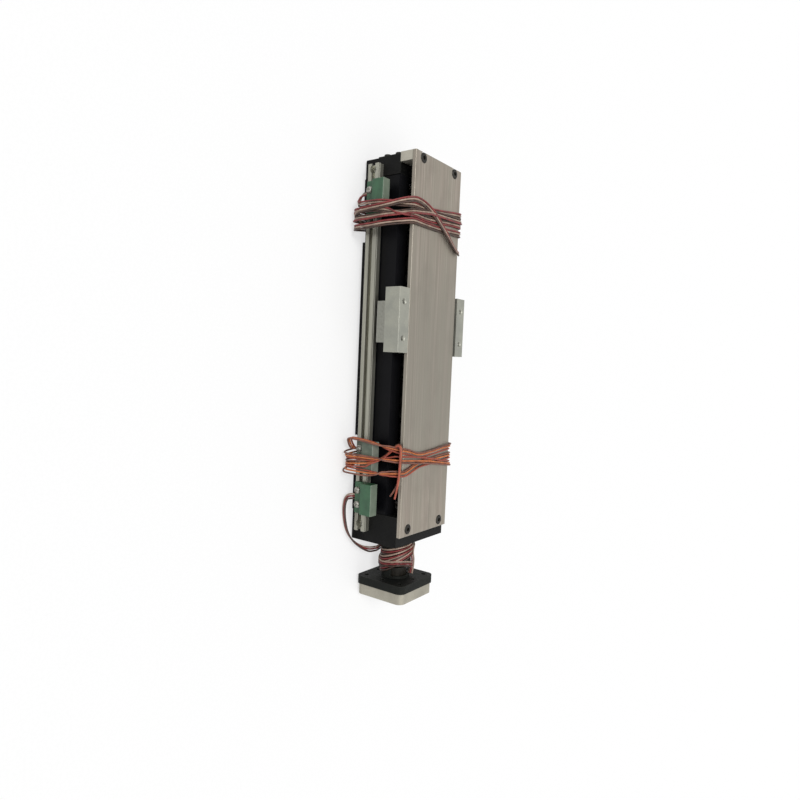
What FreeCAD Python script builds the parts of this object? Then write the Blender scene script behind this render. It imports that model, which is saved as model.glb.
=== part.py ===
import FreeCAD, Part
import math
import os
import re
import Sketcher

os.makedirs("parts", exist_ok=True)

# Linear stage, 60 mm class: a black U-shaped guide rail with a ball screw, an aluminium
# cover, a carriage whose wings stand outside the cover, and a slotted rail with sensors.
# X runs along the travel towards the motor end, Y away from the sensors, Z up.
# The origin is the centre of the seat under the guide rail. Millimetres.
SIZES = {
    # Cover and overall
    "stage_length": 270.0,
    "stage_width": 60.0,
    "cover_thickness": 3.0,
    "cover_edge_round": 0.5,
    "cover_screw_side": 9.5,
    "cover_screw_far": 3.6,
    "cover_screw_drive": 5.0,
    "cover_head_radius": 3.5,
    "cover_head_height": 2.1,
    "cover_sink_depth": 1.7,
    "cover_screw_radius": 1.9,
    "cover_screw_length": 16.0,
    "cover_socket_radius": 1.45,
    "cover_socket_depth": 1.2,
    # Guide rail
    "rail_side_inset": 1.0,
    "rail_wall": 9.5,
    "rail_floor": 8.0,
    "rail_height": 33.0,
    "rail_chamfer": 0.8,
    "relief_depth": 3.0,
    "relief_length": 29.5,
    "far_relief_inset": 45.0,
    "near_relief_inset": 54.5,
    "seat_hole_inset": 24.0,
    "seat_hole_side": 13.0,
    "seat_hole_radius": 2.75,
    "seat_head_radius": 4.75,
    "seat_head_depth": 5.0,
    "race_low": 17.5,
    "race_high": 28.0,
    "ball_radius": 1.59,
    "race_clearance": 0.06,
    "balls_in_row": 2,
    # End housings
    "housing_lift": 0.5,
    "housing_chamfer": 2.0,
    "far_bearing_ledge": 4.0,
    "far_plate_thickness": 1.5,
    "far_plate_side_gap": 2.0,
    "far_plate_height": 20.5,
    "far_housing_length": 13.0,
    "far_housing_height": 33.0,
    "cap_screw_inset": 6.0,
    "cap_screw_rise": 5.0,
    "cap_head_radius": 2.6,
    "cap_head_height": 1.8,
    "cap_screw_radius": 1.5,
    "cap_screw_length": 8.0,
    "cap_socket_radius": 1.4,
    "cap_socket_depth": 0.9,
    "spacer_length": 6.7,
    "spacer_height": 10.0,
    "drive_seat_length": 14.0,
    "drive_overhang": 7.7,
    "bumper_radius": 4.0,
    "bumper_length": 4.0,
    "bumper_wall_gap": 2.0,
    "bumper_height": 22.0,
    # Screw line
    "axis_height": 22.0,
    "screw_radius": 6.0,
    "screw_far_gap": 1.5,
    "far_journal_radius": 3.0,
    "far_bearing_radius": 9.5,
    "far_bearing_length": 6.0,
    "drive_journal_radius": 4.0,
    "drive_bearing_radius": 11.0,
    "drive_bearing_length": 7.0,
    "screw_shoulder_radius": 5.4,
    "shoulder_hole_radius": 6.5,
    "screw_end_radius": 3.0,
    "screw_end_length": 14.0,
    "running_clearance": 0.03,
    "seat_clearance": 0.05,
    "screw_clearance": 0.25,
    "head_clearance": 0.25,
    "screw_end_gap": 0.5,
    "thread_far_gap": 2.5,
    "thread_drive_gap": 5.0,
    "thread_chamfer": 1.0,
    "journal_overhang": 1.0,
    "bearing_recess": 0.35,
    "bearing_inner_land": 1.2,
    "bearing_outer_land": 1.3,
    "lock_nut_slot_width": 2.4,
    "lock_nut_slot_depth": 1.2,
    "lock_nut_slot_start": 1.5,
    "lock_nut_radius": 7.0,
    "lock_nut_length": 4.0,
    # Motor bracket, coupling and adaptor plate
    "neck_radius": 10.6,
    "neck_bore_radius": 9.0,
    "neck_length": 30.5,
    "spigot_radius": 12.0,
    "spigot_length": 3.0,
    "spigot_gap": 0.1,
    "window_end_gap": 1.5,
    "window_length": 8.5,
    "window_rise": 2.5,
    "flange_width": 43.0,
    "flange_thickness": 6.0,
    "adaptor_width": 41.5,
    "adaptor_thickness": 7.9,
    "plate_corner": 5.0,
    "pilot_radius": 11.05,
    "motor_hole_pitch": 31.0,
    "motor_hole_radius": 1.7,
    "adaptor_screw_offset": 16.4,
    "adaptor_head_radius": 2.8,
    "adaptor_head_depth": 1.6,
    "adaptor_screw_radius": 1.5,
    "adaptor_screw_length": 12.0,
    "adaptor_socket_radius": 1.2,
    "adaptor_socket_depth": 1.2,
    "coupling_radius": 8.4,
    "coupling_length": 25.0,
    "coupling_start": 6.5,
    "coupling_slot_width": 0.9,
    "coupling_slot_depth": 4.4,
    "coupling_slot_pitch": 2.4,
    "screw_bore_length": 10.0,
    "motor_bore_radius": 2.5,
    "motor_bore_length": 11.0,
    "clamp_screw_radius": 1.4,
    "clamp_screw_length": 6.0,
    "clamp_screw_side": 4.9,
    "clamp_screw_inset": 4.0,
    # Sensor rail and sensors
    "sensor_rail_far_inset": 6.5,
    "sensor_rail_drive_inset": 0.5,
    "sensor_rail_bottom": 8.5,
    "sensor_rail_height": 9.5,
    "sensor_rail_depth": 5.2,
    "slot_bottom": 3.0,
    "slot_width": 3.2,
    "slot_lip": 1.2,
    "slot_undercut_width": 6.0,
    "slot_undercut_depth": 4.0,
    "vee_inset": 0.6,
    "vee_width": 0.8,
    "vee_depth": 0.7,
    "rail_screw_far": 10.5,
    "rail_screw_drive": 6.0,
    "rail_head_radius": 2.75,
    "rail_head_height": 1.9,
    "rail_head_sink": 4.0,
    "rail_screw_radius": 1.5,
    "rail_screw_length": 10.0,
    "sensor_length": 22.5,
    "far_sensor_inset": 31.0,
    "home_sensor_inset": 55.8,
    "drive_sensor_inset": 25.6,
    "sensor_foot_bottom": 2.3,
    "sensor_foot_height": 7.6,
    "sensor_foot_thickness": 3.4,
    "sensor_block_height": 9.9,
    "sensor_block_thickness": 7.4,
    "sensor_round": 0.6,
    "sensor_screw_pitch": 10.3,
    "sensor_hole_radius": 1.7,
    "sensor_head_radius": 2.75,
    "sensor_head_height": 1.9,
    "sensor_screw_radius": 1.45,
    "sensor_nut_width": 5.5,
    "sensor_nut_thickness": 2.2,
    # Carriage
    "carriage_start": 94.9,
    "carriage_length": 44.5,
    "saddle_width": 85.6,
    "saddle_bottom": 34.2,
    "saddle_thickness": 7.8,
    "wing_top": 46.8,
    "wing_gap": 1.6,
    "saddle_round": 0.6,
    "wing_hole_pitch_along": 25.0,
    "wing_hole_pitch_across": 75.0,
    "wing_hole_radius": 1.65,
    "wing_hole_depth": 9.0,
    "saddle_screw_along": 11.0,
    "saddle_screw_inset": 4.3,
    "saddle_head_radius": 3.5,
    "saddle_head_height": 4.0,
    "saddle_head_sink": 0.2,
    "saddle_socket_radius": 1.7,
    "saddle_screw_radius": 1.9,
    "saddle_screw_length": 10.0,
    "block_floor_gap": 1.5,
    "block_wall_gap": 1.2,
    "end_cap_length": 4.0,
    "end_cap_inset": 0.3,
    "block_chamfer": 3.0,
    "nut_radius": 10.4,
    "nut_overrun": 1.0,
    "nut_chamfer": 1.0,
    "dog_length": 29.1,
    "dog_start": 8.4,
    "dog_thickness": 1.5,
    "dog_sensor_gap": 1.0,
    "dog_foot_width": 7.6,
    "dog_bottom_gap": 3.0,
    "dog_screw_pitch": 14.0,
    "dog_screw_inset": 3.0,
    "dog_head_radius": 2.0,
    "dog_head_height": 1.3,
    "dog_screw_radius": 1.1,
    "dog_screw_length": 5.0,
    # Leads wound round the stage and the neck
    "wrap_clearance": 0.3,
    "wrap_thickness": 3.0,
    "wrap_floor_gap": 0.2,
    "far_wrap_inset": 32.0,
    "far_wrap_length": 26.0,
    "near_wrap_inset": 68.0,
    "near_wrap_length": 27.0,
    "neck_coil_gap": 0.15,
    "neck_coil_thickness": 2.9,
    "neck_coil_start": 1.5,
    "neck_coil_length": 22.0,
    "lead_diameter": 2.4,
    # How far a cutting tool runs past the face that it opens
    "cutter_overrun": 1.0,
}

doc = FreeCAD.newDocument("linear_stage")
sheet = doc.addObject("Spreadsheet::Sheet", "sizes")
for row, (name, value) in enumerate(SIZES.items(), start=1):
    sheet.set("A%d" % row, name)
    sheet.set("B%d" % row, str(value))
    sheet.setAlias("B%d" % row, name)
doc.recompute()

# Places that several pieces share, each a formula of the driving sizes.
FAR_END = "(-stage_length / 2)"
DRIVE_END = "(stage_length / 2)"
HALF_WIDTH = "(stage_width / 2)"
COVER_BOTTOM = "(far_housing_height + spacer_height)"
COVER_TOP = "(far_housing_height + spacer_height + cover_thickness)"
SINK_FLOOR = "(%s - cover_sink_depth)" % COVER_TOP
RAIL_HALF = "(stage_width / 2 - rail_side_inset)"
CHANNEL_HALF = "(stage_width / 2 - rail_side_inset - rail_wall)"
RAIL_START = "(%s + far_plate_thickness + far_housing_length)" % FAR_END
RAIL_END = "(%s - drive_seat_length)" % DRIVE_END
HOUSING_END = "(%s + drive_overhang)" % DRIVE_END
BALL_SIDE = "(%s - block_wall_gap / 2)" % CHANNEL_HALF
BLOCK_HALF = "(%s - block_wall_gap)" % CHANNEL_HALF
BLOCK_BOTTOM = "(rail_floor + block_floor_gap)"
SADDLE_SCREW_SIDE = "(%s - saddle_screw_inset)" % BLOCK_HALF
CAP_SCREW_SIDE = "(%s - cap_screw_inset)" % HALF_WIDTH
CARRIAGE_START = "(%s + carriage_start)" % FAR_END
CARRIAGE_MIDDLE = "(%s + carriage_length / 2)" % CARRIAGE_START
BEARING_START = "(%s - spigot_length - 2 * drive_bearing_length)" % HOUSING_END
FLANGE_START = "(%s + neck_length)" % HOUSING_END
ADAPTOR_START = "(%s + flange_thickness)" % FLANGE_START
ADAPTOR_END = "(%s + adaptor_thickness)" % ADAPTOR_START
COUPLING_START = "(%s + coupling_start)" % HOUSING_END
COUPLING_END = "(%s + coupling_length)" % COUPLING_START
RAIL_FACE = "(-stage_width / 2 - sensor_rail_depth)"
SENSOR_BOTTOM = "(sensor_rail_bottom + sensor_foot_bottom)"
SLOT_MIDDLE = "(sensor_rail_bottom + slot_bottom + slot_width / 2)"
FOOT_FACE = "(%s - sensor_foot_thickness)" % RAIL_FACE
SENSOR_FACE = "(%s - sensor_block_thickness)" % RAIL_FACE
SENSOR_TOP = "(%s + sensor_foot_height + sensor_block_height)" % SENSOR_BOTTOM
DOG_START = "(%s + dog_start)" % CARRIAGE_START
DOG_BOTTOM = "(sensor_rail_bottom + sensor_rail_height + dog_bottom_gap)"
DOG_FACE = "(%s + dog_sensor_gap)" % RAIL_FACE
DOG_EDGE = "(%s + dog_thickness - dog_foot_width)" % DOG_FACE
DOG_SCREW_SIDE = "(%s + dog_screw_inset)" % DOG_EDGE
BUMPER_SIDE = "(%s - bumper_radius - bumper_wall_gap)" % CHANNEL_HALF
FAR_SENSOR_X = "(%s + far_sensor_inset)" % FAR_END
HOME_SENSOR_X = "(%s - home_sensor_inset)" % DRIVE_END
DRIVE_SENSOR_X = "(%s - drive_sensor_inset)" % DRIVE_END
SENSOR_PLACES = (FAR_SENSOR_X, HOME_SENSOR_X, DRIVE_SENSOR_X)


def formula(text):
    """Put the sheet's name before each driving size in a formula."""
    def with_sheet(match):
        word = match.group(0)
        return "sizes." + word if word in SIZES else word
    return re.sub(r"[a-z_]+", with_sheet, str(text))


def place(piece, x=None, y=None, z=None):
    """Bind the piece's place to formulas."""
    for axis, text in (("x", x), ("y", y), ("z", z)):
        if text is not None:
            piece.setExpression("Placement.Base." + axis, formula(text))


def new_name(kind):
    """A fresh internal name for a helper object."""
    new_name.count += 1
    return "%s_%d" % (kind, new_name.count)


new_name.count = 0


def box(x, y, z, label=None):
    """A box between two formulas along each axis."""
    solid = doc.addObject("Part::Box", new_name("box"))
    spans = (("Length", x), ("Width", y), ("Height", z))
    for size_name, (low, high) in spans:
        solid.setExpression(size_name, formula("(%s) - (%s)" % (high, low)))
    place(solid, x[0], y[0], z[0])
    if label:
        solid.Label = label
    return solid


AXIS_TURNS = {
    "x": FreeCAD.Rotation(FreeCAD.Vector(0, 1, 0), 90),
    "y": FreeCAD.Rotation(FreeCAD.Vector(1, 0, 0), -90),
    "z": FreeCAD.Rotation(),
}


def rod(axis, radius, length, x, y, z, label=None):
    """A cylinder that starts at a point and runs along +X, +Y or +Z."""
    solid = doc.addObject("Part::Cylinder", new_name("rod"))
    solid.setExpression("Radius", formula(radius))
    solid.setExpression("Height", formula(length))
    solid.Placement = FreeCAD.Placement(FreeCAD.Vector(), AXIS_TURNS[axis])
    place(solid, x, y, z)
    if label:
        solid.Label = label
    return solid


def drill(axis, radius, length, x, y, z):
    """A cylinder to cut with, which overruns both ends of its length."""
    start = {"x": x, "y": y, "z": z}
    start[axis] = "%s - cutter_overrun" % start[axis]
    return rod(axis, radius, "%s + 2 * cutter_overrun" % length, start["x"], start["y"],
               start["z"])


def hexagon(axis, radius, length, x, y, z):
    """A six-sided bar, for the sockets of screws."""
    solid = doc.addObject("Part::Prism", new_name("hexagon"))
    solid.Polygon = 6
    solid.setExpression("Circumradius", formula(radius))
    solid.setExpression("Height", formula(length))
    solid.Placement = FreeCAD.Placement(FreeCAD.Vector(), AXIS_TURNS[axis])
    place(solid, x, y, z)
    return solid


def cone(axis, radius_1, radius_2, length, x, y, z):
    """A cone that starts at a point and runs along +X, +Y or +Z."""
    solid = doc.addObject("Part::Cone", new_name("cone"))
    solid.setExpression("Radius1", formula(radius_1))
    solid.setExpression("Radius2", formula(radius_2))
    solid.setExpression("Height", formula(length))
    solid.Placement = FreeCAD.Placement(FreeCAD.Vector(), AXIS_TURNS[axis])
    place(solid, x, y, z)
    return solid


def joined(solids, label=None):
    """Solids fused into one."""
    if len(solids) == 1:
        return solids[0]
    fuse = doc.addObject("Part::MultiFuse", new_name("joined"))
    fuse.Shapes = solids
    if label:
        fuse.Label = label
    return fuse


def group(solids, label):
    """Separate solids that share one node."""
    compound = doc.addObject("Part::Compound", new_name("group"))
    compound.Links = solids
    compound.Label = label
    return compound


def without(base, tools, label=None):
    """The base with the tools cut out of it."""
    cut = doc.addObject("Part::Cut", new_name("cut"))
    cut.Base = base
    cut.Tool = joined(tools)
    if label:
        cut.Label = label
    return cut


def outline_sketch(body, plane, corners):
    """A closed outline of straight lines, each corner bound to two formulas."""
    sketch = body.newObject("Sketcher::SketchObject", new_name("outline"))
    feature = [part for part in body.Origin.OriginFeatures if part.Role == plane][0]
    sketch.AttachmentSupport = [(feature, "")]
    sketch.MapMode = "FlatFace"
    count = len(corners)
    spread = 20.0
    points = []
    for index in range(count):
        turn = 2 * math.pi * index / count
        points.append(FreeCAD.Vector(spread * math.cos(turn), spread * math.sin(turn), 0))
    rules = []
    for index in range(count):
        following = (index + 1) % count
        sketch.addGeometry(Part.LineSegment(points[index], points[following]), False)
        rules.append(Sketcher.Constraint("Coincident", index, 2, following, 1))
    for index, point in enumerate(points):
        rules.append(Sketcher.Constraint("DistanceX", -1, 1, index, 1, point.x))
        rules.append(Sketcher.Constraint("DistanceY", -1, 1, index, 1, point.y))
    sketch.addConstraint(rules)
    for index, (across, up) in enumerate(corners):
        sketch.setExpression("Constraints[%d]" % (count + 2 * index), formula(across))
        sketch.setExpression("Constraints[%d]" % (count + 2 * index + 1), formula(up))
    return sketch


def extrusion(corners, start, length, label=None):
    """A profile of (Y, Z) corners, extruded along X from start."""
    body = doc.addObject("PartDesign::Body", new_name("extrusion"))
    sketch = outline_sketch(body, "YZ_Plane", corners)
    pad = body.newObject("PartDesign::Pad", new_name("pad"))
    pad.Profile = sketch
    pad.setExpression("Length", formula(length))
    place(body, x=start)
    if label:
        body.Label = label
    return body


def turning(corners, start, height, label=None):
    """A profile of (X, radius) corners, turned about the X axis at a height."""
    body = doc.addObject("PartDesign::Body", new_name("turning"))
    sketch = outline_sketch(body, "XZ_Plane", corners)
    turned = body.newObject("PartDesign::Revolution", new_name("revolution"))
    turned.Profile = sketch
    turned.ReferenceAxis = (sketch, ["H_Axis"])
    turned.Angle = 360
    place(body, x=start, z=height)
    if label:
        body.Label = label
    return body


def soften(body, size, wanted, kind="Fillet"):
    """Round or chamfer the body's edges whose middle point is wanted."""
    doc.recompute()
    tip = body.Tip
    names = []
    for index, edge in enumerate(tip.Shape.Edges, start=1):
        middle = body.Placement.multVec(edge.valueAt((edge.FirstParameter + edge.LastParameter) / 2))
        direction = edge.tangentAt(edge.FirstParameter)
        if edge.Curve.TypeId == "Part::GeomLine" and wanted(middle, direction):
            names.append("Edge%d" % index)
    feature = body.newObject("PartDesign::" + kind, new_name("soft"))
    feature.Base = (tip, names)
    feature.setExpression("Radius" if kind == "Fillet" else "Size", formula(size))
    return body


def along_x(middle, direction):
    """Edges that run along X."""
    return abs(direction.x) > 0.99


def mirrored_pair(make):
    """The two pieces that a function makes for the signs - and +."""
    return [make("-"), make("+")]


def at_corners(make):
    """The four pieces that a function makes for the signs along and across."""
    return [make(along, across) for along in ("-", "+") for across in ("-", "+")]


def guide_rail():
    """U-shaped rail: ball races in its walls, seat pads and counterbored holes below."""
    profile = [
        ("-(%s)" % RAIL_HALF, "0"),
        (RAIL_HALF, "0"),
        (RAIL_HALF, "rail_height"),
        (CHANNEL_HALF, "rail_height"),
        (CHANNEL_HALF, "rail_floor"),
        ("-(%s)" % CHANNEL_HALF, "rail_floor"),
        ("-(%s)" % CHANNEL_HALF, "rail_height"),
        ("-(%s)" % RAIL_HALF, "rail_height"),
    ]
    body = extrusion(profile, RAIL_START, "(%s) - (%s)" % (RAIL_END, RAIL_START))
    edge = SIZES["stage_width"] / 2 - SIZES["rail_side_inset"]
    soften(body, "rail_chamfer", lambda middle, direction: along_x(middle, direction) and
           abs(abs(middle.y) - edge) < 0.01, kind="Chamfer")
    cuts = race_cutters(RAIL_START, "(%s) - (%s)" % (RAIL_END, RAIL_START))
    for centre in ("%s + far_relief_inset" % FAR_END, "%s - near_relief_inset" % DRIVE_END):
        start = "%s - relief_length / 2" % centre
        cuts.append(box((start, "%s + relief_length" % start),
                        ("-stage_width", "stage_width"), ("-cutter_overrun", "relief_depth")))
    for along in ("-", "+"):
        for across in ("-", "+"):
            x = "%s(stage_length / 2 - seat_hole_inset)" % along
            y = "%sseat_hole_side" % across
            cuts.append(drill("z", "seat_hole_radius", "rail_floor", x, y, "0"))
            cuts.append(rod("z", "seat_head_radius", "seat_head_depth + cutter_overrun", x, y,
                            "rail_floor - seat_head_depth"))
    return without(body, cuts, "guide_rail")


def far_housing():
    """Cast housing at the far end, with the seat of the far bearing."""
    start = "(%s + far_plate_thickness)" % FAR_END
    top = "far_housing_height"
    profile = [
        ("-(%s)" % HALF_WIDTH, "housing_lift + housing_chamfer"),
        ("-(%s) + housing_chamfer" % HALF_WIDTH, "housing_lift"),
        ("%s - housing_chamfer" % HALF_WIDTH, "housing_lift"),
        (HALF_WIDTH, "housing_lift + housing_chamfer"),
        (HALF_WIDTH, top),
        ("-(%s)" % HALF_WIDTH, top),
    ]
    body = extrusion(profile, start, "far_housing_length")
    cuts = [
        rod("x", "far_bearing_radius + seat_clearance", "far_bearing_length + cutter_overrun",
            "%s - cutter_overrun" % start, "0", "axis_height"),
        drill("x", "far_bearing_radius - far_bearing_ledge", "far_housing_length", start, "0",
              "axis_height"),
    ]
    for side in ("-", "+"):
        cuts.append(rod("z", "cover_screw_radius + seat_clearance", "cover_screw_length",
                        "%s + cover_screw_far" % FAR_END,
                        "%s(%s - cover_screw_side)" % (side, HALF_WIDTH),
                        "%s - cover_screw_length" % SINK_FLOOR))
        for rise in ("-", "+"):
            cuts.append(rod("x", "cap_screw_radius + seat_clearance", "cap_screw_length + screw_end_gap",
                            start, side + CAP_SCREW_SIDE,
                            "axis_height %s cap_screw_rise" % rise))
    cuts.append(rod("y", "rail_screw_radius + seat_clearance", "rail_screw_length",
                    "%s + rail_screw_far" % FAR_END, "-(%s) - cutter_overrun" % HALF_WIDTH,
                    SLOT_MIDDLE))
    return without(body, cuts, "far_housing")


def far_bearing_plate():
    """Thin plate that closes the far bearing's seat."""
    low = "axis_height - far_plate_height / 2"
    body = box((FAR_END, "%s + far_plate_thickness" % FAR_END),
               ("-(%s) + far_plate_side_gap" % HALF_WIDTH, "%s - far_plate_side_gap" % HALF_WIDTH),
               (low, "%s + far_plate_height" % low))
    cuts = []
    for side in ("-", "+"):
        for rise in ("-", "+"):
            cuts.append(drill("x", "cap_screw_radius + seat_clearance", "far_plate_thickness",
                              FAR_END, side + CAP_SCREW_SIDE,
                              "axis_height %s cap_screw_rise" % rise))
    return without(body, cuts, "far_bearing_plate")


def far_plate_screws():
    """Four cap screws that hold the far bearing plate."""
    def screw(rise, side):
        y = side + CAP_SCREW_SIDE
        z = "axis_height %s cap_screw_rise" % rise
        head = rod("x", "cap_head_radius", "cap_head_height",
                   "%s - cap_head_height" % FAR_END, y, z)
        shank = rod("x", "cap_screw_radius", "cap_screw_length", FAR_END, y, z)
        socket = hexagon("x", "cap_socket_radius", "cap_head_height",
                         "%s - 2 * cap_head_height + cap_socket_depth" % FAR_END, y, z)
        return without(joined([head, shank]), [socket])
    return group(at_corners(screw), "far_plate_screws")


def bearing(bore, outer, length, start, label=None):
    """A closed ball bearing with a shallow recess for its shields."""
    recess = "bearing_recess"
    inner_land = "(%s + bearing_inner_land)" % bore
    outer_land = "(%s - bearing_outer_land)" % outer
    corners = [
        ("0", bore),
        ("0", inner_land),
        (recess, inner_land),
        (recess, outer_land),
        ("0", outer_land),
        ("0", outer),
        (length, outer),
        (length, outer_land),
        ("%s - %s" % (length, recess), outer_land),
        ("%s - %s" % (length, recess), inner_land),
        (length, inner_land),
        (length, bore),
    ]
    return turning(corners, start, "axis_height", label)


def far_bearing():
    """Deep-groove bearing that carries the screw's far journal."""
    return bearing("far_journal_radius + running_clearance", "far_bearing_radius",
                   "far_bearing_length", "%s + far_plate_thickness" % FAR_END, "far_bearing")


def drive_bearings():
    """Pair of angular-contact bearings in the motor-end housing."""
    rings = []
    for index in (0, 1):
        start = "%s + %d * drive_bearing_length" % (BEARING_START, index)
        rings.append(bearing("drive_journal_radius + running_clearance",
                             "drive_bearing_radius", "drive_bearing_length", start))
    return group(rings, "drive_bearings")


def spacer_block():
    """Silver bar that carries the cover above the far housing."""
    bar = box((FAR_END, "%s + spacer_length" % FAR_END),
              ("-(%s)" % HALF_WIDTH, HALF_WIDTH), ("far_housing_height", COVER_BOTTOM))
    cuts = []
    for side in ("-", "+"):
        cuts.append(drill("z", "cover_screw_radius + screw_clearance", "spacer_height",
                          "%s + cover_screw_far" % FAR_END,
                          "%s(%s - cover_screw_side)" % (side, HALF_WIDTH), "far_housing_height"))
    return without(bar, cuts, "spacer_block")


def cover_screw_places():
    """The (X, Y) formulas of the cover's four screws."""
    places = []
    for x in ("%s + cover_screw_far" % FAR_END, "%s - cover_screw_drive" % DRIVE_END):
        for side in ("-", "+"):
            places.append((x, "%s(%s - cover_screw_side)" % (side, HALF_WIDTH)))
    return places


def cover_plate():
    """Flat aluminium cover over the screw and the carriage's saddle."""
    profile = [
        ("-(%s)" % HALF_WIDTH, COVER_BOTTOM),
        (HALF_WIDTH, COVER_BOTTOM),
        (HALF_WIDTH, COVER_TOP),
        ("-(%s)" % HALF_WIDTH, COVER_TOP),
    ]
    body = extrusion(profile, FAR_END, "stage_length")
    soften(body, "cover_edge_round", along_x)
    cuts = []
    for x, y in cover_screw_places():
        cuts.append(drill("z", "cover_screw_radius + screw_clearance", "cover_thickness", x, y,
                          COVER_BOTTOM))
        cuts.append(rod("z", "cover_head_radius + head_clearance",
                        "cover_sink_depth + cutter_overrun", x, y, SINK_FLOOR))
    return without(body, cuts, "cover_plate")


def cover_screws():
    """Four black socket screws that hold the cover."""
    screws = []
    for x, y in cover_screw_places():
        head = rod("z", "cover_head_radius", "cover_head_height", x, y, SINK_FLOOR)
        shank = rod("z", "cover_screw_radius", "cover_screw_length - screw_end_gap", x, y,
                    "%s - cover_screw_length + screw_end_gap" % SINK_FLOOR)
        socket = hexagon("z", "cover_socket_radius", "cover_socket_depth + cutter_overrun", x, y,
                         "%s + cover_head_height - cover_socket_depth" % SINK_FLOOR)
        screws.append(without(joined([head, shank]), [socket]))
    return group(screws, "cover_screws")


def drive_housing():
    """Full-height housing at the motor end, with the fixed bearings' seat."""
    profile = [
        ("-(%s)" % HALF_WIDTH, "housing_lift + housing_chamfer"),
        ("-(%s) + housing_chamfer" % HALF_WIDTH, "housing_lift"),
        ("%s - housing_chamfer" % HALF_WIDTH, "housing_lift"),
        (HALF_WIDTH, "housing_lift + housing_chamfer"),
        (HALF_WIDTH, COVER_BOTTOM),
        ("-(%s)" % HALF_WIDTH, COVER_BOTTOM),
    ]
    body = extrusion(profile, RAIL_END, "(%s) - (%s)" % (HOUSING_END, RAIL_END))
    cuts = [
        rod("x", "shoulder_hole_radius", "drive_seat_length + drive_overhang",
            "%s - cutter_overrun" % RAIL_END, "0", "axis_height"),
        rod("x", "drive_bearing_radius + seat_clearance",
            "2 * drive_bearing_length + spigot_length + cutter_overrun", BEARING_START, "0",
            "axis_height"),
        rod("x", "spigot_radius + seat_clearance", "spigot_length + cutter_overrun",
            "%s - spigot_length" % HOUSING_END, "0", "axis_height"),
        rod("y", "rail_screw_radius + seat_clearance", "rail_screw_length",
            "%s - rail_screw_drive" % DRIVE_END, "-(%s) - cutter_overrun" % HALF_WIDTH, SLOT_MIDDLE),
    ]
    for side in ("-", "+"):
        cuts.append(rod("z", "cover_screw_radius + seat_clearance", "cover_screw_length + cutter_overrun",
                        "%s - cover_screw_drive" % DRIVE_END,
                        "%s(%s - cover_screw_side)" % (side, HALF_WIDTH),
                        "%s - cover_screw_length" % SINK_FLOOR))
    return without(body, cuts, "drive_housing")


def bumpers(label, x):
    """Two rubber stops on a housing's inner face."""
    def stop(side):
        return rod("x", "bumper_radius", "bumper_length", x, side + BUMPER_SIDE,
                   "bumper_height")
    return group(mirrored_pair(stop), label)


def ball_screw():
    """Stepped screw shaft: far journal, threaded part, bearing journal, coupling end."""
    start = "(%s + far_plate_thickness + screw_far_gap)" % FAR_END
    thread_start = "(%s + thread_far_gap - (%s))" % (RAIL_START, start)
    thread_end = "(%s - thread_drive_gap - (%s))" % (RAIL_END, start)
    shoulder_end = "(%s - (%s))" % (BEARING_START, start)
    journal_end = ("(%s + lock_nut_length - spigot_length + journal_overhang - (%s))"
                   % (HOUSING_END, start))
    end = "(%s + screw_end_length)" % journal_end
    corners = [
        ("0", "0"),
        ("0", "far_journal_radius"),
        (thread_start, "far_journal_radius"),
        (thread_start, "screw_radius - thread_chamfer"),
        ("%s + thread_chamfer" % thread_start, "screw_radius"),
        ("%s - thread_chamfer" % thread_end, "screw_radius"),
        (thread_end, "screw_shoulder_radius"),
        (shoulder_end, "screw_shoulder_radius"),
        (shoulder_end, "drive_journal_radius"),
        (journal_end, "drive_journal_radius"),
        (journal_end, "screw_end_radius"),
        (end, "screw_end_radius"),
        (end, "0"),
    ]
    return turning(corners, start, "axis_height", "ball_screw")


def bearing_lock_nut():
    """Nut that clamps the inner rings of the drive bearings."""
    start = "%s - spigot_length + spigot_gap" % HOUSING_END
    ring = rod("x", "lock_nut_radius", "lock_nut_length", start, "0", "axis_height")
    bore = drill("x", "drive_journal_radius + seat_clearance", "lock_nut_length", start, "0",
                 "axis_height")
    cuts = [bore]
    for side in ("-", "+"):
        y = "%s(lock_nut_radius)" % side
        cuts.append(box((start + " + lock_nut_slot_start", start + " + lock_nut_length + cutter_overrun"),
                        ("%s - lock_nut_slot_depth" % y, "%s + lock_nut_slot_depth" % y),
                        ("axis_height - lock_nut_slot_width / 2",
                         "axis_height + lock_nut_slot_width / 2")))
    return without(ring, cuts, "bearing_lock_nut")


def motor_bracket():
    """Black casting: spigot in the housing and narrow neck with a window."""
    start = "(%s - spigot_length + spigot_gap)" % HOUSING_END
    spigot = rod("x", "spigot_radius", "%s - %s" % (HOUSING_END, start), start, "0", "axis_height")
    neck = rod("x", "neck_radius", "%s - %s" % (FLANGE_START, start), start, "0", "axis_height")
    cuts = [
        drill("x", "neck_bore_radius", "neck_length + spigot_length",
              "%s - spigot_length" % HOUSING_END, "0", "axis_height"),
        box(("%s - window_end_gap - window_length" % FLANGE_START,
             "%s - window_end_gap" % FLANGE_START),
            ("-spigot_radius", "spigot_radius"),
            ("axis_height + window_rise", "axis_height + spigot_radius + cutter_overrun")),
    ]
    return without(joined([spigot, neck]), cuts, "motor_bracket")


def plate_outline(width):
    """Corners of a square plate about the axis."""
    half = "%s / 2" % width
    return [
        ("-(%s)" % half, "axis_height - %s" % half),
        (half, "axis_height - %s" % half),
        (half, "axis_height + %s" % half),
        ("-(%s)" % half, "axis_height + %s" % half),
    ]


def motor_flange():
    """The casting's square flange, a node of its own so that collision leaves the neck free."""
    flange = extrusion(plate_outline("flange_width"), FLANGE_START, "flange_thickness")
    soften(flange, "plate_corner", along_x)
    cuts = [drill("x", "neck_bore_radius", "flange_thickness", FLANGE_START, "0",
                  "axis_height")]
    cuts += plate_holes(FLANGE_START, "flange_thickness", "adaptor_screw_radius + seat_clearance")
    return without(flange, cuts, "motor_flange")


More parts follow.
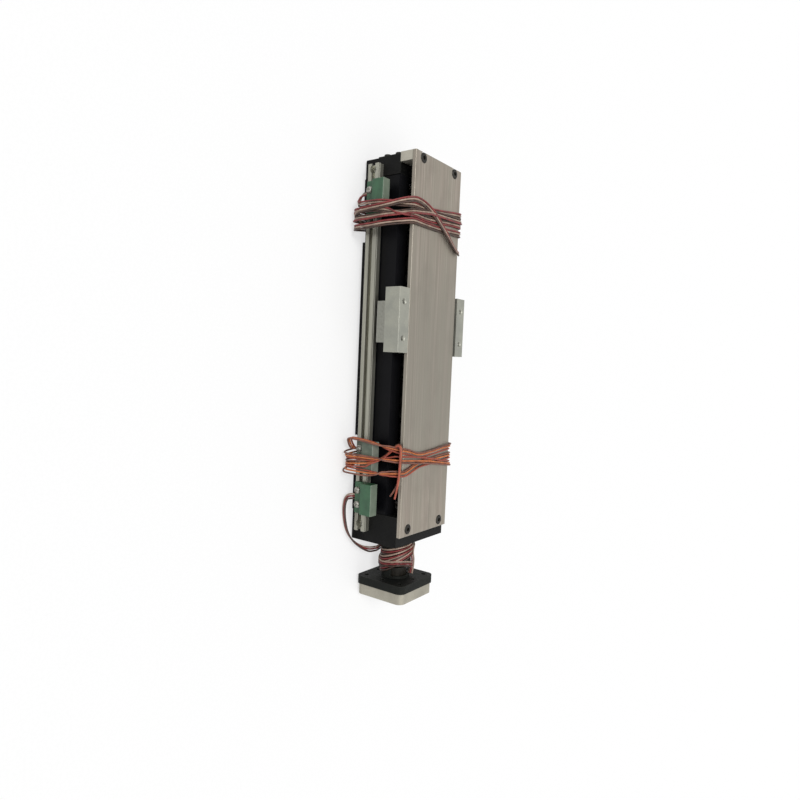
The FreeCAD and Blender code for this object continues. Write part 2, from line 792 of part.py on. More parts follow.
def cross_places():
    """The (Y, Z) formulas of the adaptor plate's own four screws."""
    return [
        ("adaptor_screw_offset", "axis_height"),
        ("-adaptor_screw_offset", "axis_height"),
        ("0", "axis_height + adaptor_screw_offset"),
        ("0", "axis_height - adaptor_screw_offset"),
    ]


def plate_holes(start, thickness, screw_hole):
    """Cutters for the motor's four holes and the adaptor plate's four screws."""
    cuts = []
    for across in ("-", "+"):
        for up in ("-", "+"):
            cuts.append(drill("x", "motor_hole_radius", thickness, start,
                              "%smotor_hole_pitch / 2" % across,
                              "axis_height %s motor_hole_pitch / 2" % up))
    for y, z in cross_places():
        cuts.append(drill("x", screw_hole, thickness, start, y, z))
    return cuts


def adaptor_plate():
    """Silver plate that takes the motor, with its pilot bore and four holes."""
    body = extrusion(plate_outline("adaptor_width"), ADAPTOR_START, "adaptor_thickness")
    soften(body, "plate_corner", along_x)
    cuts = plate_holes(ADAPTOR_START, "adaptor_thickness", "adaptor_screw_radius + screw_clearance")
    cuts.append(drill("x", "pilot_radius", "adaptor_thickness", ADAPTOR_START, "0",
                      "axis_height"))
    for y, z in cross_places():
        cuts.append(cone("x", "adaptor_screw_radius + seat_clearance",
                         "adaptor_head_radius + seat_clearance",
                         "adaptor_head_depth", "%s - adaptor_head_depth" % ADAPTOR_END, y, z))
    return without(body, cuts, "adaptor_plate")


def adaptor_screws():
    """Four countersunk screws from the adaptor plate into the flange."""
    screws = []
    for y, z in cross_places():
        head = cone("x", "adaptor_screw_radius", "adaptor_head_radius", "adaptor_head_depth",
                    "%s - adaptor_head_depth" % ADAPTOR_END, y, z)
        shank = rod("x", "adaptor_screw_radius", "adaptor_screw_length - adaptor_head_depth",
                    "%s - adaptor_screw_length" % ADAPTOR_END, y, z)
        socket = hexagon("x", "adaptor_socket_radius", "2 * adaptor_socket_depth",
                         "%s - adaptor_socket_depth" % ADAPTOR_END, y, z)
        screws.append(without(joined([head, shank]), [socket]))
    return group(screws, "adaptor_screws")


def screw_coupling():
    """Slotted flexible coupling between the screw and the motor's shaft."""
    middle = "coupling_length / 2"
    bottom = "coupling_radius - coupling_slot_depth"
    corners = [("0", "0"), ("0", "coupling_radius")]
    for step in (-1.5, -0.5, 0.5, 1.5):
        centre = "%s + (%s) * coupling_slot_pitch" % (middle, step)
        low = "%s - coupling_slot_width / 2" % centre
        high = "%s + coupling_slot_width / 2" % centre
        corners += [(low, "coupling_radius"), (low, bottom), (high, bottom),
                    (high, "coupling_radius")]
    corners += [("coupling_length", "coupling_radius"), ("coupling_length", "0")]
    body = turning(corners, COUPLING_START, "axis_height")
    cuts = [
        rod("x", "screw_end_radius + seat_clearance", "screw_bore_length + cutter_overrun",
            "%s - cutter_overrun" % COUPLING_START, "0", "axis_height"),
        rod("x", "motor_bore_radius", "motor_bore_length + cutter_overrun",
            "%s - motor_bore_length" % COUPLING_END, "0", "axis_height"),
    ]
    for x in clamp_places():
        cuts.append(rod("z", "clamp_screw_radius + seat_clearance", "coupling_radius", x,
                        "clamp_screw_side", "axis_height"))
    return without(body, cuts, "screw_coupling")


def clamp_places():
    """X of the coupling's two clamp screws."""
    return ("%s + clamp_screw_inset" % COUPLING_START, "%s - clamp_screw_inset" % COUPLING_END)


def coupling_screws():
    """Clamp screws of the coupling, one at each hub."""
    screws = []
    for x in clamp_places():
        screws.append(rod("z", "clamp_screw_radius", "clamp_screw_length", x,
                          "clamp_screw_side", "axis_height"))
    return group(screws, "coupling_screws")


def sensor_rail():
    """Slotted aluminium rail along the stage's side."""
    face = RAIL_FACE
    back = "(-stage_width / 2)"
    low = "sensor_rail_bottom"
    top = "(sensor_rail_bottom + sensor_rail_height)"
    slot_low = "(sensor_rail_bottom + slot_bottom)"
    slot_high = "(%s + slot_width)" % slot_low
    under = "(slot_undercut_width / 2 - slot_width / 2)"
    lip = "(%s + slot_lip)" % face
    deep = "(%s + slot_undercut_depth)" % face
    vee_start = "(%s + vee_inset)" % face
    profile = [
        (back, low),
        (face, low),
        (face, slot_low),
        (lip, slot_low),
        (lip, "%s - %s" % (slot_low, under)),
        (deep, "%s - %s" % (slot_low, under)),
        (deep, "%s + %s" % (slot_high, under)),
        (lip, "%s + %s" % (slot_high, under)),
        (lip, slot_high),
        (face, slot_high),
        (face, top),
        (vee_start, top),
        ("%s + vee_width / 2" % vee_start, "%s - vee_depth" % top),
        ("%s + vee_width" % vee_start, top),
        (back, top),
    ]
    start = "(%s + sensor_rail_far_inset)" % FAR_END
    end = "(%s - sensor_rail_drive_inset)" % DRIVE_END
    body = extrusion(profile, start, "(%s) - (%s)" % (end, start))
    cuts = []
    for x in rail_screw_places():
        cuts.append(rod("y", "rail_head_radius + head_clearance", "rail_head_sink + cutter_overrun", x,
                        "%s - cutter_overrun" % face, SLOT_MIDDLE))
        cuts.append(drill("y", "rail_screw_radius + screw_clearance", "sensor_rail_depth", x,
                          face, SLOT_MIDDLE))
    return without(body, cuts, "sensor_rail")


def rail_screw_places():
    """X of the two screws that hold the sensor rail to the housings."""
    return ("%s + rail_screw_far" % FAR_END, "%s - rail_screw_drive" % DRIVE_END)


def sensor_rail_screws():
    """Two screws through the rail's slot into the housings."""
    screws = []
    for x in rail_screw_places():
        seat = "(%s + slot_undercut_depth)" % RAIL_FACE
        head = rod("y", "rail_head_radius", "rail_head_height", x,
                   "%s - rail_head_height" % seat, SLOT_MIDDLE)
        shank = rod("y", "rail_screw_radius", "rail_screw_length", x, seat, SLOT_MIDDLE)
        screws.append(joined([head, shank]))
    return group(screws, "sensor_rail_screws")


def sensor_screw_places(centre):
    """X of a sensor's two screws."""
    return ("%s - sensor_screw_pitch / 2" % centre, "%s + sensor_screw_pitch / 2" % centre)


def sensor(label, centre):
    """Moulded sensor: a thin foot with two holes and a thick sensing block above."""
    split = "(%s + sensor_foot_height)" % SENSOR_BOTTOM
    profile = [
        (RAIL_FACE, SENSOR_BOTTOM),
        (FOOT_FACE, SENSOR_BOTTOM),
        (FOOT_FACE, split),
        (SENSOR_FACE, split),
        (SENSOR_FACE, SENSOR_TOP),
        (RAIL_FACE, SENSOR_TOP),
    ]
    body = extrusion(profile, "%s - sensor_length / 2" % centre, "sensor_length")
    face = -SIZES["stage_width"] / 2 - SIZES["sensor_rail_depth"] - SIZES["sensor_block_thickness"]
    soften(body, "sensor_round", lambda middle, direction: abs(middle.y - face) < 0.01)
    cuts = []
    for x in sensor_screw_places(centre):
        cuts.append(drill("y", "sensor_hole_radius", "sensor_foot_thickness", x, FOOT_FACE,
                          SLOT_MIDDLE))
    return without(body, cuts, label)


def sensor_screws():
    """Six pan-head screws, two in each sensor's foot."""
    screws = []
    for centre in SENSOR_PLACES:
        for x in sensor_screw_places(centre):
            head = rod("y", "sensor_head_radius", "sensor_head_height", x,
                       "%s - sensor_head_height" % FOOT_FACE, SLOT_MIDDLE)
            shank = rod("y", "sensor_screw_radius",
                        "sensor_foot_thickness + slot_undercut_depth - screw_end_gap",
                        x, FOOT_FACE, SLOT_MIDDLE)
            screws.append(joined([head, shank]))
    return group(screws, "sensor_screws")


def sensor_nuts():
    """Six square nuts in the rail's slot."""
    nuts = []
    inner = "(%s + slot_lip)" % RAIL_FACE
    for centre in SENSOR_PLACES:
        for x in sensor_screw_places(centre):
            nut = box(("%s - sensor_nut_width / 2" % x, "%s + sensor_nut_width / 2" % x),
                      (inner, "%s + sensor_nut_thickness" % inner),
                      ("%s - sensor_nut_width / 2" % SLOT_MIDDLE,
                       "%s + sensor_nut_width / 2" % SLOT_MIDDLE))
            bore = drill("y", "sensor_screw_radius + seat_clearance", "sensor_nut_thickness",
                         x, inner, SLOT_MIDDLE)
            nuts.append(without(nut, [bore]))
    return group(nuts, "sensor_nuts")


def carriage_saddle():
    """Aluminium saddle under the cover, with a wing up each side of it."""
    half = "(saddle_width / 2)"
    inner = "(%s + wing_gap)" % HALF_WIDTH
    middle_top = "(saddle_bottom + saddle_thickness)"
    profile = [
        ("-(%s)" % half, "saddle_bottom"),
        (half, "saddle_bottom"),
        (half, "wing_top"),
        (inner, "wing_top"),
        (inner, middle_top),
        ("-(%s)" % inner, middle_top),
        ("-(%s)" % inner, "wing_top"),
        ("-(%s)" % half, "wing_top"),
    ]
    body = extrusion(profile, CARRIAGE_START, "carriage_length")
    edge = SIZES["saddle_width"] / 2
    soften(body, "saddle_round", lambda middle, direction: abs(abs(middle.y) - edge) < 0.01)
    cuts = []
    for along in ("-", "+"):
        for across in ("-", "+"):
            cuts.append(rod("z", "wing_hole_radius", "wing_hole_depth + cutter_overrun",
                            "%s %s wing_hole_pitch_along / 2" % (CARRIAGE_MIDDLE, along),
                            "%swing_hole_pitch_across / 2" % across,
                            "wing_top - wing_hole_depth"))
            x = "%s %s saddle_screw_along" % (CARRIAGE_MIDDLE, along)
            y = across + SADDLE_SCREW_SIDE
            cuts.append(drill("z", "saddle_screw_radius + screw_clearance", "saddle_thickness",
                              x, y, "saddle_bottom"))
            cuts.append(rod("z", "saddle_head_radius + head_clearance",
                            "saddle_head_height + cutter_overrun", x, y,
                            "%s - saddle_head_height" % middle_top))
    for x in dog_screw_places():
        cuts.append(rod("z", "dog_screw_radius + seat_clearance",
                        "dog_screw_length - dog_thickness + cutter_overrun", x, DOG_SCREW_SIDE,
                        "saddle_bottom - cutter_overrun"))
    return without(body, cuts, "carriage_saddle")


def saddle_screws():
    """Four socket screws from the saddle into the carriage block."""
    def screw(along, across):
        x = "%s %s saddle_screw_along" % (CARRIAGE_MIDDLE, along)
        y = across + SADDLE_SCREW_SIDE
        seat = "(saddle_bottom + saddle_thickness - saddle_head_height)"
        head = rod("z", "saddle_head_radius", "saddle_head_height - saddle_head_sink", x, y, seat)
        shank = rod("z", "saddle_screw_radius", "saddle_screw_length", x, y,
                    "%s - saddle_screw_length" % seat)
        socket = hexagon("z", "saddle_socket_radius", "saddle_head_height", x, y,
                         "%s + saddle_head_height / 2" % seat)
        return without(joined([head, shank]), [socket])
    return group(at_corners(screw), "saddle_screws")


def block_section(inset):
    """The carriage block's (Y, Z) outline, drawn in by an inset."""
    side = "(%s - %s)" % (BLOCK_HALF, inset)
    low = "(%s + %s)" % (BLOCK_BOTTOM, inset)
    top = "(saddle_bottom - %s)" % inset
    cut = "block_chamfer"
    return [
        ("-(%s) + %s" % (side, cut), low),
        ("%s - %s" % (side, cut), low),
        (side, "%s + %s" % (low, cut)),
        (side, top),
        ("-(%s)" % side, top),
        ("-(%s)" % side, "%s + %s" % (low, cut)),
    ]


def race_cutters(start, length):
    """Four long cutters along the ball rows."""
    cuts = []
    for side in ("-", "+"):
        for height in ("race_low", "race_high"):
            cuts.append(drill("x", "ball_radius + race_clearance", length, start,
                              "%s(%s)" % (side, BALL_SIDE), height))
    return cuts


def carriage_block():
    """Steel block between the rail's walls, bored for the nut."""
    start = "(%s + end_cap_length)" % CARRIAGE_START
    length = "(carriage_length - 2 * end_cap_length)"
    body = extrusion(block_section("0"), start, length)
    cuts = race_cutters(start, length)
    cuts.append(drill("x", "nut_radius + seat_clearance", length, start, "0", "axis_height"))
    for along in ("-", "+"):
        for across in ("-", "+"):
            cuts.append(rod("z", "saddle_screw_radius + seat_clearance", "saddle_screw_length",
                            "%s %s saddle_screw_along" % (CARRIAGE_MIDDLE, along),
                            across + SADDLE_SCREW_SIDE,
                            "saddle_bottom + saddle_thickness - saddle_head_height"
                            " - saddle_screw_length - screw_end_gap"))
    return without(body, cuts, "carriage_block")


def carriage_end_caps():
    """Two plastic caps that turn the balls round at the block's ends."""
    caps = []
    for start in (CARRIAGE_START, "(%s + carriage_length - end_cap_length)" % CARRIAGE_START):
        body = extrusion(block_section("end_cap_inset"), start, "end_cap_length")
        bore = drill("x", "nut_radius + seat_clearance", "end_cap_length", start, "0",
                     "axis_height")
        caps.append(without(body, [bore]))
    return group(caps, "carriage_end_caps")


def ball_nut():
    """Ball nut in the carriage block, on the screw."""
    length = "(carriage_length + 2 * nut_overrun)"
    bore = "(screw_radius + running_clearance)"
    corners = [
        ("0", bore),
        ("0", "nut_radius - nut_chamfer"),
        ("nut_chamfer", "nut_radius"),
        ("%s - nut_chamfer" % length, "nut_radius"),
        (length, "nut_radius - nut_chamfer"),
        (length, bore),
    ]
    return turning(corners, "%s - nut_overrun" % CARRIAGE_START, "axis_height", "ball_nut")


def guide_balls():
    """Loaded balls of the four rows between the block and the rail."""
    balls = []
    count = SIZES["balls_in_row"]
    for side in ("-", "+"):
        for height in ("race_low", "race_high"):
            for index in range(int(count)):
                share = "(%d + 0.5) / %d" % (index, int(count))
                ball = doc.addObject("Part::Sphere", new_name("ball"))
                ball.setExpression("Radius", formula("ball_radius"))
                place(ball, "%s + end_cap_length + (carriage_length - 2 * end_cap_length) * %s"
                      % (CARRIAGE_START, share), "%s(%s)" % (side, BALL_SIDE), height)
                balls.append(ball)
    return group(balls, "guide_balls")


def dog_screw_places():
    """X of the sensor dog's two screws."""
    middle = "(%s + dog_length / 2)" % DOG_START
    return ("%s - dog_screw_pitch / 2" % middle, "%s + dog_screw_pitch / 2" % middle)


def sensor_dog():
    """Angle of sheet steel under the wing, with one leg that passes behind the sensors."""
    inner = "(%s + dog_thickness)" % DOG_FACE
    profile = [
        (DOG_FACE, DOG_BOTTOM),
        (inner, DOG_BOTTOM),
        (inner, "saddle_bottom"),
        (DOG_EDGE, "saddle_bottom"),
        (DOG_EDGE, "saddle_bottom - dog_thickness"),
        (DOG_FACE, "saddle_bottom - dog_thickness"),
    ]
    body = extrusion(profile, DOG_START, "dog_length")
    cuts = []
    for x in dog_screw_places():
        cuts.append(drill("z", "dog_screw_radius + screw_clearance", "dog_thickness", x,
                          DOG_SCREW_SIDE, "saddle_bottom - dog_thickness"))
    return without(body, cuts, "sensor_dog")


def sensor_dog_screws():
    """Two small screws that hold the dog under the wing."""
    screws = []
    for x in dog_screw_places():
        seat = "(saddle_bottom - dog_thickness)"
        head = rod("z", "dog_head_radius", "dog_head_height", x, DOG_SCREW_SIDE,
                   "%s - dog_head_height" % seat)
        shank = rod("z", "dog_screw_radius", "dog_screw_length - screw_end_gap", x,
                    DOG_SCREW_SIDE, seat)
        screws.append(joined([head, shank]))
    return group(screws, "sensor_dog_screws")


def wrap_ring(label, start, length):
    """Outer shape of a lead wound round the cover, the rail and the sensors."""
    top = "(%s + wrap_clearance)" % COVER_TOP
    right = "(%s + wrap_clearance)" % HALF_WIDTH
    left = "(%s - wrap_clearance)" % SENSOR_FACE
    low = "(relief_depth - wrap_clearance)"
    thick = "wrap_thickness"
    inner = [
        ("-(%s)" % HALF_WIDTH, top),
        (right, top),
        (right, low),
        ("-(%s)" % HALF_WIDTH, low),
        (left, "%s - wrap_clearance" % SENSOR_BOTTOM),
        (left, "%s + wrap_clearance" % SENSOR_TOP),
    ]
    outer = [
        ("-(%s) - %s / 2" % (HALF_WIDTH, thick), "%s + %s" % (top, thick)),
        ("%s + %s" % (right, thick), "%s + %s" % (top, thick)),
        ("%s + %s" % (right, thick), "wrap_floor_gap"),
        ("-(%s) - %s / 3" % (HALF_WIDTH, thick), "wrap_floor_gap"),
        ("%s - %s" % (left, thick), "%s - wrap_clearance - %s" % (SENSOR_BOTTOM, thick)),
        ("%s - %s" % (left, thick), "%s + wrap_clearance + %s / 2" % (SENSOR_TOP, thick)),
    ]
    skin = extrusion(outer, start, length)
    soften(skin, "wrap_thickness", along_x)
    core = extrusion(inner, "%s - cutter_overrun" % start, "%s + 2 * cutter_overrun" % length)
    return without(skin, [core], label)


def neck_lead_coil():
    """Outer shape of the lead wound round the bracket's neck."""
    start = "(%s + neck_coil_start)" % HOUSING_END
    skin = rod("x", "neck_radius + neck_coil_gap + neck_coil_thickness", "neck_coil_length",
               start, "0", "axis_height")
    core = drill("x", "neck_radius + neck_coil_gap", "neck_coil_length", start, "0",
                 "axis_height")
    return without(skin, [core], "neck_lead_coil")


# Share of the shorter run that each of a lead's arcs takes up.
TANGENT_SHARE = 0.45


def tube(label, points, diameter):
    """A lead's free stretch: straight runs joined by arcs as large as they allow."""
    route = [FreeCAD.Vector(*point) for point in points]
    edges = []
    radii = []
    here = route[0]
    for before, corner, after in zip(route, route[1:], route[2:]):
        into = corner - before
        out = after - corner
        turn = into.getAngle(out)
        shorter = min(into.Length, out.Length)
        reach = TANGENT_SHARE * shorter
        radius = reach / math.tan(turn / 2)
        into.normalize()
        out.normalize()
        first = corner - into * reach
        last = corner + out * reach
        bisector = out - into
        bisector.normalize()
        centre = corner + bisector * (radius / math.cos(turn / 2))
        to_corner = corner - centre
        to_corner.normalize()
        middle = centre + to_corner * radius
        edges.append(Part.LineSegment(here, first).toShape())
        edges.append(Part.Arc(first, middle, last).toShape())
        radii.append(radius)
        here = last
    edges.append(Part.LineSegment(here, route[-1]).toShape())
    path = Part.Wire(edges)
    ring = Part.Wire(Part.Circle(route[0], route[1] - route[0], diameter / 2).toShape())
    solid = path.makePipeShell([ring], True, True)
    section = math.pi * diameter ** 2 / 4
    piece = doc.addObject("Part::Feature", label)
    piece.Shape = solid
    piece.Label = label
    piece.Placement = FreeCAD.Placement()
    print("%s: length %.1f, radii %s, turns %s, volume over section x length %.4f" % (
        label, path.Length, " ".join("%.1f" % value for value in radii),
        " ".join("%.0f" % math.degrees((b - a).getAngle(c - b))
                 for a, b, c in zip(route, route[1:], route[2:])),
        solid.Volume / (section * path.Length)))
    return piece


# Routes of the leads' free stretches, chosen by hand. Each meets a coil's flat end squarely.
FAR_LEAD_ROUTE = [
    (-107.4, -36.9, 10.8),
    (-107.4, -36.9, 8.4),
    (-106.4, -37.3, 6.4),
    (-104.8, -37.6, 5.5),
    (-103.0, -37.6, 5.5),
]
DRIVE_LEAD_ROUTE = [
    (109.4, -36.9, 10.8),
    (109.4, -36.9, 7.6),
    (110.6, -37.4, 4.8),
    (113.6, -38.0, 3.0),
    (119.0, -37.8, 2.4),
    (127.0, -36.8, 2.5),
    (136.0, -36.0, 2.8),
    (143.6, -33.4, 4.2),
    (149.8, -27.0, 6.8),
    (152.4, -18.0, 9.4),
    (152.8, -8.5, 9.8),
]
FAR_END_ROUTE = [
    (-77.0, 21.6, 47.7),
    (-75.2, 21.6, 47.7),
    (-73.8, 22.3, 47.6),
    (-72.9, 23.7, 47.6),
    (-72.4, 29.0, 47.5),
]
NEAR_END_ROUTE = [
    (94.0, -31.8, 47.0),
    (98.2, -31.8, 47.0),
    (102.6, -32.7, 45.6),
    (106.0, -34.2, 43.2),
]

PIECES = [
    guide_rail(),
    far_housing(),
    far_bearing_plate(),
    far_plate_screws(),
    far_bearing(),
    spacer_block(),
    cover_plate(),
    cover_screws(),
    drive_housing(),
    drive_bearings(),
    bumpers("far_bumpers", RAIL_START),
    bumpers("drive_bumpers", "%s - bumper_length" % RAIL_END),
    ball_screw(),
    bearing_lock_nut(),
    motor_bracket(),
    motor_flange(),
    adaptor_plate(),
    adaptor_screws(),
    screw_coupling(),
    coupling_screws(),
    sensor_rail(),
    sensor_rail_screws(),
    sensor("far_limit_sensor", FAR_SENSOR_X),
    sensor("home_sensor", HOME_SENSOR_X),
    sensor("drive_limit_sensor", DRIVE_SENSOR_X),
    sensor_screws(),
    sensor_nuts(),
    carriage_saddle(),
    saddle_screws(),
    carriage_block(),
    carriage_end_caps(),
    ball_nut(),
    guide_balls(),
    sensor_dog(),
    sensor_dog_screws(),
    wrap_ring("far_lead_wrap", "(%s + far_wrap_inset)" % FAR_END, "far_wrap_length"),
    wrap_ring("near_lead_wrap", "(%s - near_wrap_inset)" % DRIVE_END, "near_wrap_length"),
    neck_lead_coil(),
    tube("far_sensor_lead", FAR_LEAD_ROUTE, SIZES["lead_diameter"]),
    tube("far_lead_end", FAR_END_ROUTE, SIZES["lead_diameter"]),
    tube("near_lead_end", NEAR_END_ROUTE, SIZES["lead_diameter"]),
    tube("drive_sensor_lead", DRIVE_LEAD_ROUTE, SIZES["lead_diameter"]),
]

doc.recompute()
faults = []
for thing in doc.Objects:
    if "Invalid" in thing.State or "Error" in thing.State:
        faults.append("%s (%s) is %s" % (thing.Name, thing.Label, thing.State))
for piece in PIECES:
    if piece.Shape.isNull() or not piece.Shape.isValid():
        faults.append("%s has no valid shape" % piece.Label)
if faults:
    raise RuntimeError("; ".join(faults))
for piece in PIECES:
    piece.Shape.exportStep("parts/%s.step" % piece.Label)
    print("%-24s %3d solid(s) %10.1f mm3" % (piece.Label, len(piece.Shape.Solids),
                                            piece.Shape.Volume))
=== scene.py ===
import math

import bmesh
import bpy
from mathutils import Matrix, Vector


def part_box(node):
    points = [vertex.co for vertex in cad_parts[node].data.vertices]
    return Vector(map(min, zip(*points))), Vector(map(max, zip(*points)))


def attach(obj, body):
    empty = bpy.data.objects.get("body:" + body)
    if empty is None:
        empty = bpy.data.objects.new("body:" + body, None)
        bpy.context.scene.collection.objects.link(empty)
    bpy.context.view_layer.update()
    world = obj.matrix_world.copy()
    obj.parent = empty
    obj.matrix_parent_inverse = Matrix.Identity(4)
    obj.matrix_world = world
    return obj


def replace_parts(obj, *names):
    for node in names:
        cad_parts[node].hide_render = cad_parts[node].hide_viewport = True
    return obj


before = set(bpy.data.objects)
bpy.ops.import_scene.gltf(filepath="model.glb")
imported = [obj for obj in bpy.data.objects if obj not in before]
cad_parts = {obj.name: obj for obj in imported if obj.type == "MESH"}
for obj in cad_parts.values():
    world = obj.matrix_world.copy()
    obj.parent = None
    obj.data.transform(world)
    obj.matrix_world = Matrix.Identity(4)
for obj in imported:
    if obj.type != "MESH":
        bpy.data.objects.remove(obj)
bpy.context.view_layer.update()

# Looks of a 60 mm class linear stage: the finish of each metal, casting and moulding, the
# screws with their recesses, the thread of the screw, and three sensor leads wound round it.
MM = 0.001

# Height of the screw's axis above the seat in millimetres, as in the construction.
AXIS_HEIGHT = 22.0
# Corners of a node's triangles, or of a rolled sheet, closer than this in metres are one.
WELD = 1e-6
TUBE_WELD = 1e-5


def corner_mm(node, end):
    """A node's lowest (0) or highest (1) corner in millimetres."""
    return Vector(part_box(node)[end]) / MM


# Colours and shader helpers

def linear(code):
    """A colour written as sRGB hex, turned to linear RGBA."""
    values = [int(code[start:start + 2], 16) / 255 for start in (1, 3, 5)]
    bent = [v / 12.92 if v <= 0.04045 else ((v + 0.055) / 1.055) ** 2.4 for v in values]
    return (*bent, 1.0)


# Kinds of node that are used again and again, under short names.
MATH = "ShaderNodeMath"
VECTOR_MATH = "ShaderNodeVectorMath"
RAMP = "ShaderNodeValToRGB"
BOOLEAN = "GeometryNodeMeshBoolean"
# Spreads a value's range, from low to high, over another; a noise mostly lies within NOISE.
SPREAD = "ShaderNodeMapRange"
NOISE = (0.3, 0.7)


def feed(tree, node, *inputs, **sockets):
    """Set or link a node's sockets: its live ones in turn, or by name, with _ for a space.

    What goes in is a value, a hex colour, an output, a node, which stands for its first live
    output, or a list of these.
    """
    pairs = list(zip([socket for socket in node.inputs if socket.enabled], inputs))
    pairs += [(node.inputs[name.replace("_", " ")], given) for name, given in sockets.items()]
    for socket, given in pairs:
        for item in given if isinstance(given, list) else [given]:
            if isinstance(item, bpy.types.Node):
                item = next(output for output in item.outputs if output.enabled)
            if isinstance(item, bpy.types.NodeSocket):
                tree.links.new(item, socket)
            else:
                socket.default_value = linear(item) if isinstance(item, str) else item


def set_stops(band, stops):
    """Give a colour ramp its (place, hex colour) stops."""
    while len(band.elements) < len(stops):
        band.elements.new(0.5)
    for element, (place, code) in zip(band.elements, stops):
        element.position = place
        element.color = linear(code)


def add(tree, kind, settings=None, *inputs, **sockets):
    """Add a node with its settings and links.

    Settings are its properties, a ramp's stops among them, or the name of its operation.
    """
    node = tree.nodes.new(kind)
    if isinstance(settings, str):
        settings = {"operation": settings}
    for name, value in (settings or {}).items():
        if name == "stops":
            set_stops(node.color_ramp, value)
        else:
            setattr(node, name, value)
    feed(tree, node, *inputs, **sockets)
    return node


def new_finish(name, roughness, metallic=0.0, **sockets):
    """A material with one principled shader; returns it, its tree and the shader."""
    finish = bpy.data.materials.new(name)
    finish.use_nodes = True
    tree = finish.node_tree
    tree.nodes.clear()
    shader = add(tree, "ShaderNodeBsdfPrincipled", Roughness=roughness, Metallic=metallic,
                 **sockets)
    add(tree, "ShaderNodeOutputMaterial", Surface=shader)
    return finish, tree, shader


def pattern(tree, size_mm, stretch=(1, 1, 1), detail=3.0, rough=0.55):
    """Noise with features of a size in millimetres; a stretch under 1 draws it out on that axis."""
    where = add(tree, "ShaderNodeTexCoord").outputs["Object"]
    scaled = add(tree, "ShaderNodeMapping", Vector=where, Scale=Vector(stretch))
    return add(tree, "ShaderNodeTexNoise", Vector=scaled, Scale=1 / (size_mm * MM), Detail=detail,
               Roughness=rough)


def place_along(tree, axis):
    """A point's place along an axis of its object, in metres."""
    place = add(tree, "ShaderNodeTexCoord").outputs["Object"]
    return add(tree, "ShaderNodeSeparateXYZ", Vector=place).outputs[axis]


def edge_share(tree, radius_mm, sharpness=6.0):
    """How near a sharp edge is, as the share of a painted edge highlight: 0 on flat surfaces, 1
    along an edge.
    """
    rounded = add(tree, "ShaderNodeBevel", {"samples": 4}, Radius=radius_mm * MM)
    plain = add(tree, "ShaderNodeNewGeometry").outputs["Normal"]
    same = add(tree, VECTOR_MATH, "DOT_PRODUCT", rounded, plain)
    apart = add(tree, MATH, "SUBTRACT", 1.0, same)
    return add(tree, MATH, {"operation": "MULTIPLY", "use_clamp": True}, apart, sharpness)


def tinted(tree, colour, *tints):
    """A colour with tints mixed over it in turn, each given as its share and hex colour."""
    for share, tint in tints:
        colour = add(tree, "ShaderNodeMix", {"data_type": "RGBA"}, share, colour, tint)
    return colour


def dress(tree, shader, colour, roughness, height, depth_mm, strength=1.0):
    """Give a shader its colour, its roughness and a relief of a depth in millimetres."""
    bump = add(tree, "ShaderNodeBump", Height=height, Distance=depth_mm * MM, Strength=strength)
    feed(tree, shader, Base_Color=colour, Roughness=roughness, Normal=bump)


# Finishes, each named for the real material and how its surface was made

# Millimetres along the stage: the middle of the painted shade on the cover, which stands in for
# light falling off along it, and how far from it the shade stays at its darkest and is gone again.
SHADE_MIDDLE = 12.0
SHADE_NEAR = 40.0
SHADE_FAR = 110.0


def drawn_aluminium():
    """Cover sheet: clear-anodised, with streaks left along the rolling direction, painted
    reflection lines along it, painted shade in its middle and a painted highlight on its edges.
    """
    finish, tree, shader = new_finish("drawn_anodised_aluminium", 0.46, 0.8)
    streaks = pattern(tree, 1.1, (0.012, 1, 1), detail=4.0)
    # Lengthwise bands: streaks in the sheet, and painted reflection lines along it.
    streak_and_reflection_bands = pattern(tree, 9.0, (0.03, 1, 1), detail=1.0)
    # The grain is about 0.2 mm wide on the real sheet; it is drawn twice as coarse to show.
    grain = pattern(tree, 0.4, (0.01, 1, 1), detail=2.0)
    marks = pattern(tree, 16.0, (0.6, 1, 1), detail=5.0)
    # Painted shade: the middle of the sheet is darker than its ends, for light falling off along
    # it.
    off_middle = add(tree, MATH, "SUBTRACT", place_along(tree, "X"), SHADE_MIDDLE * MM)
    off_middle = add(tree, MATH, "ABSOLUTE", off_middle)
    painted_shade = add(tree, SPREAD, {}, off_middle, SHADE_NEAR * MM, SHADE_FAR * MM, 0.55, 0.0)
    stops = [(0.30, "#827a6e"), (0.52, "#998f84"), (0.74, "#b3aba0")]
    colour = tinted(tree, add(tree, RAMP, {"stops": stops}, streaks),
                    (add(tree, SPREAD, {}, streak_and_reflection_bands, *NOISE, 0.0, 0.55), "#959184"),
                    (add(tree, SPREAD, {}, marks, 0.5, 0.7, 0.0, 0.4), "#7f776d"),
                    (painted_shade, "#87847a"),
                    # Painted highlight along the sheet's sharp edges.
                    (edge_share(tree, 0.5), "#aeaaa0"))
    dress(tree, shader, colour, add(tree, SPREAD, {}, streaks, *NOISE, 0.40, 0.56), grain, 0.02)
    return finish


def milled_aluminium(name, dark, light):
    """Saddle, spacer and motor plate: milled, bead blasted and clear anodised."""
    finish, tree, shader = new_finish(name, 0.5, 0.7)
    blast = pattern(tree, 0.5, detail=2.0)
    cloud = pattern(tree, 14.0)
    colour = tinted(tree, add(tree, RAMP, {"stops": [(0.35, dark), (0.65, light)]}, cloud),
                    (add(tree, SPREAD, {}, blast, *NOISE, 0.0, 0.35), "#7f7f79"),
                    # Painted highlight along sharp edges.
                    (edge_share(tree, 0.35), "#b7b8ab"))
    dress(tree, shader, colour, add(tree, SPREAD, {}, cloud, *NOISE, 0.44, 0.58), blast, 0.015)
    return finish


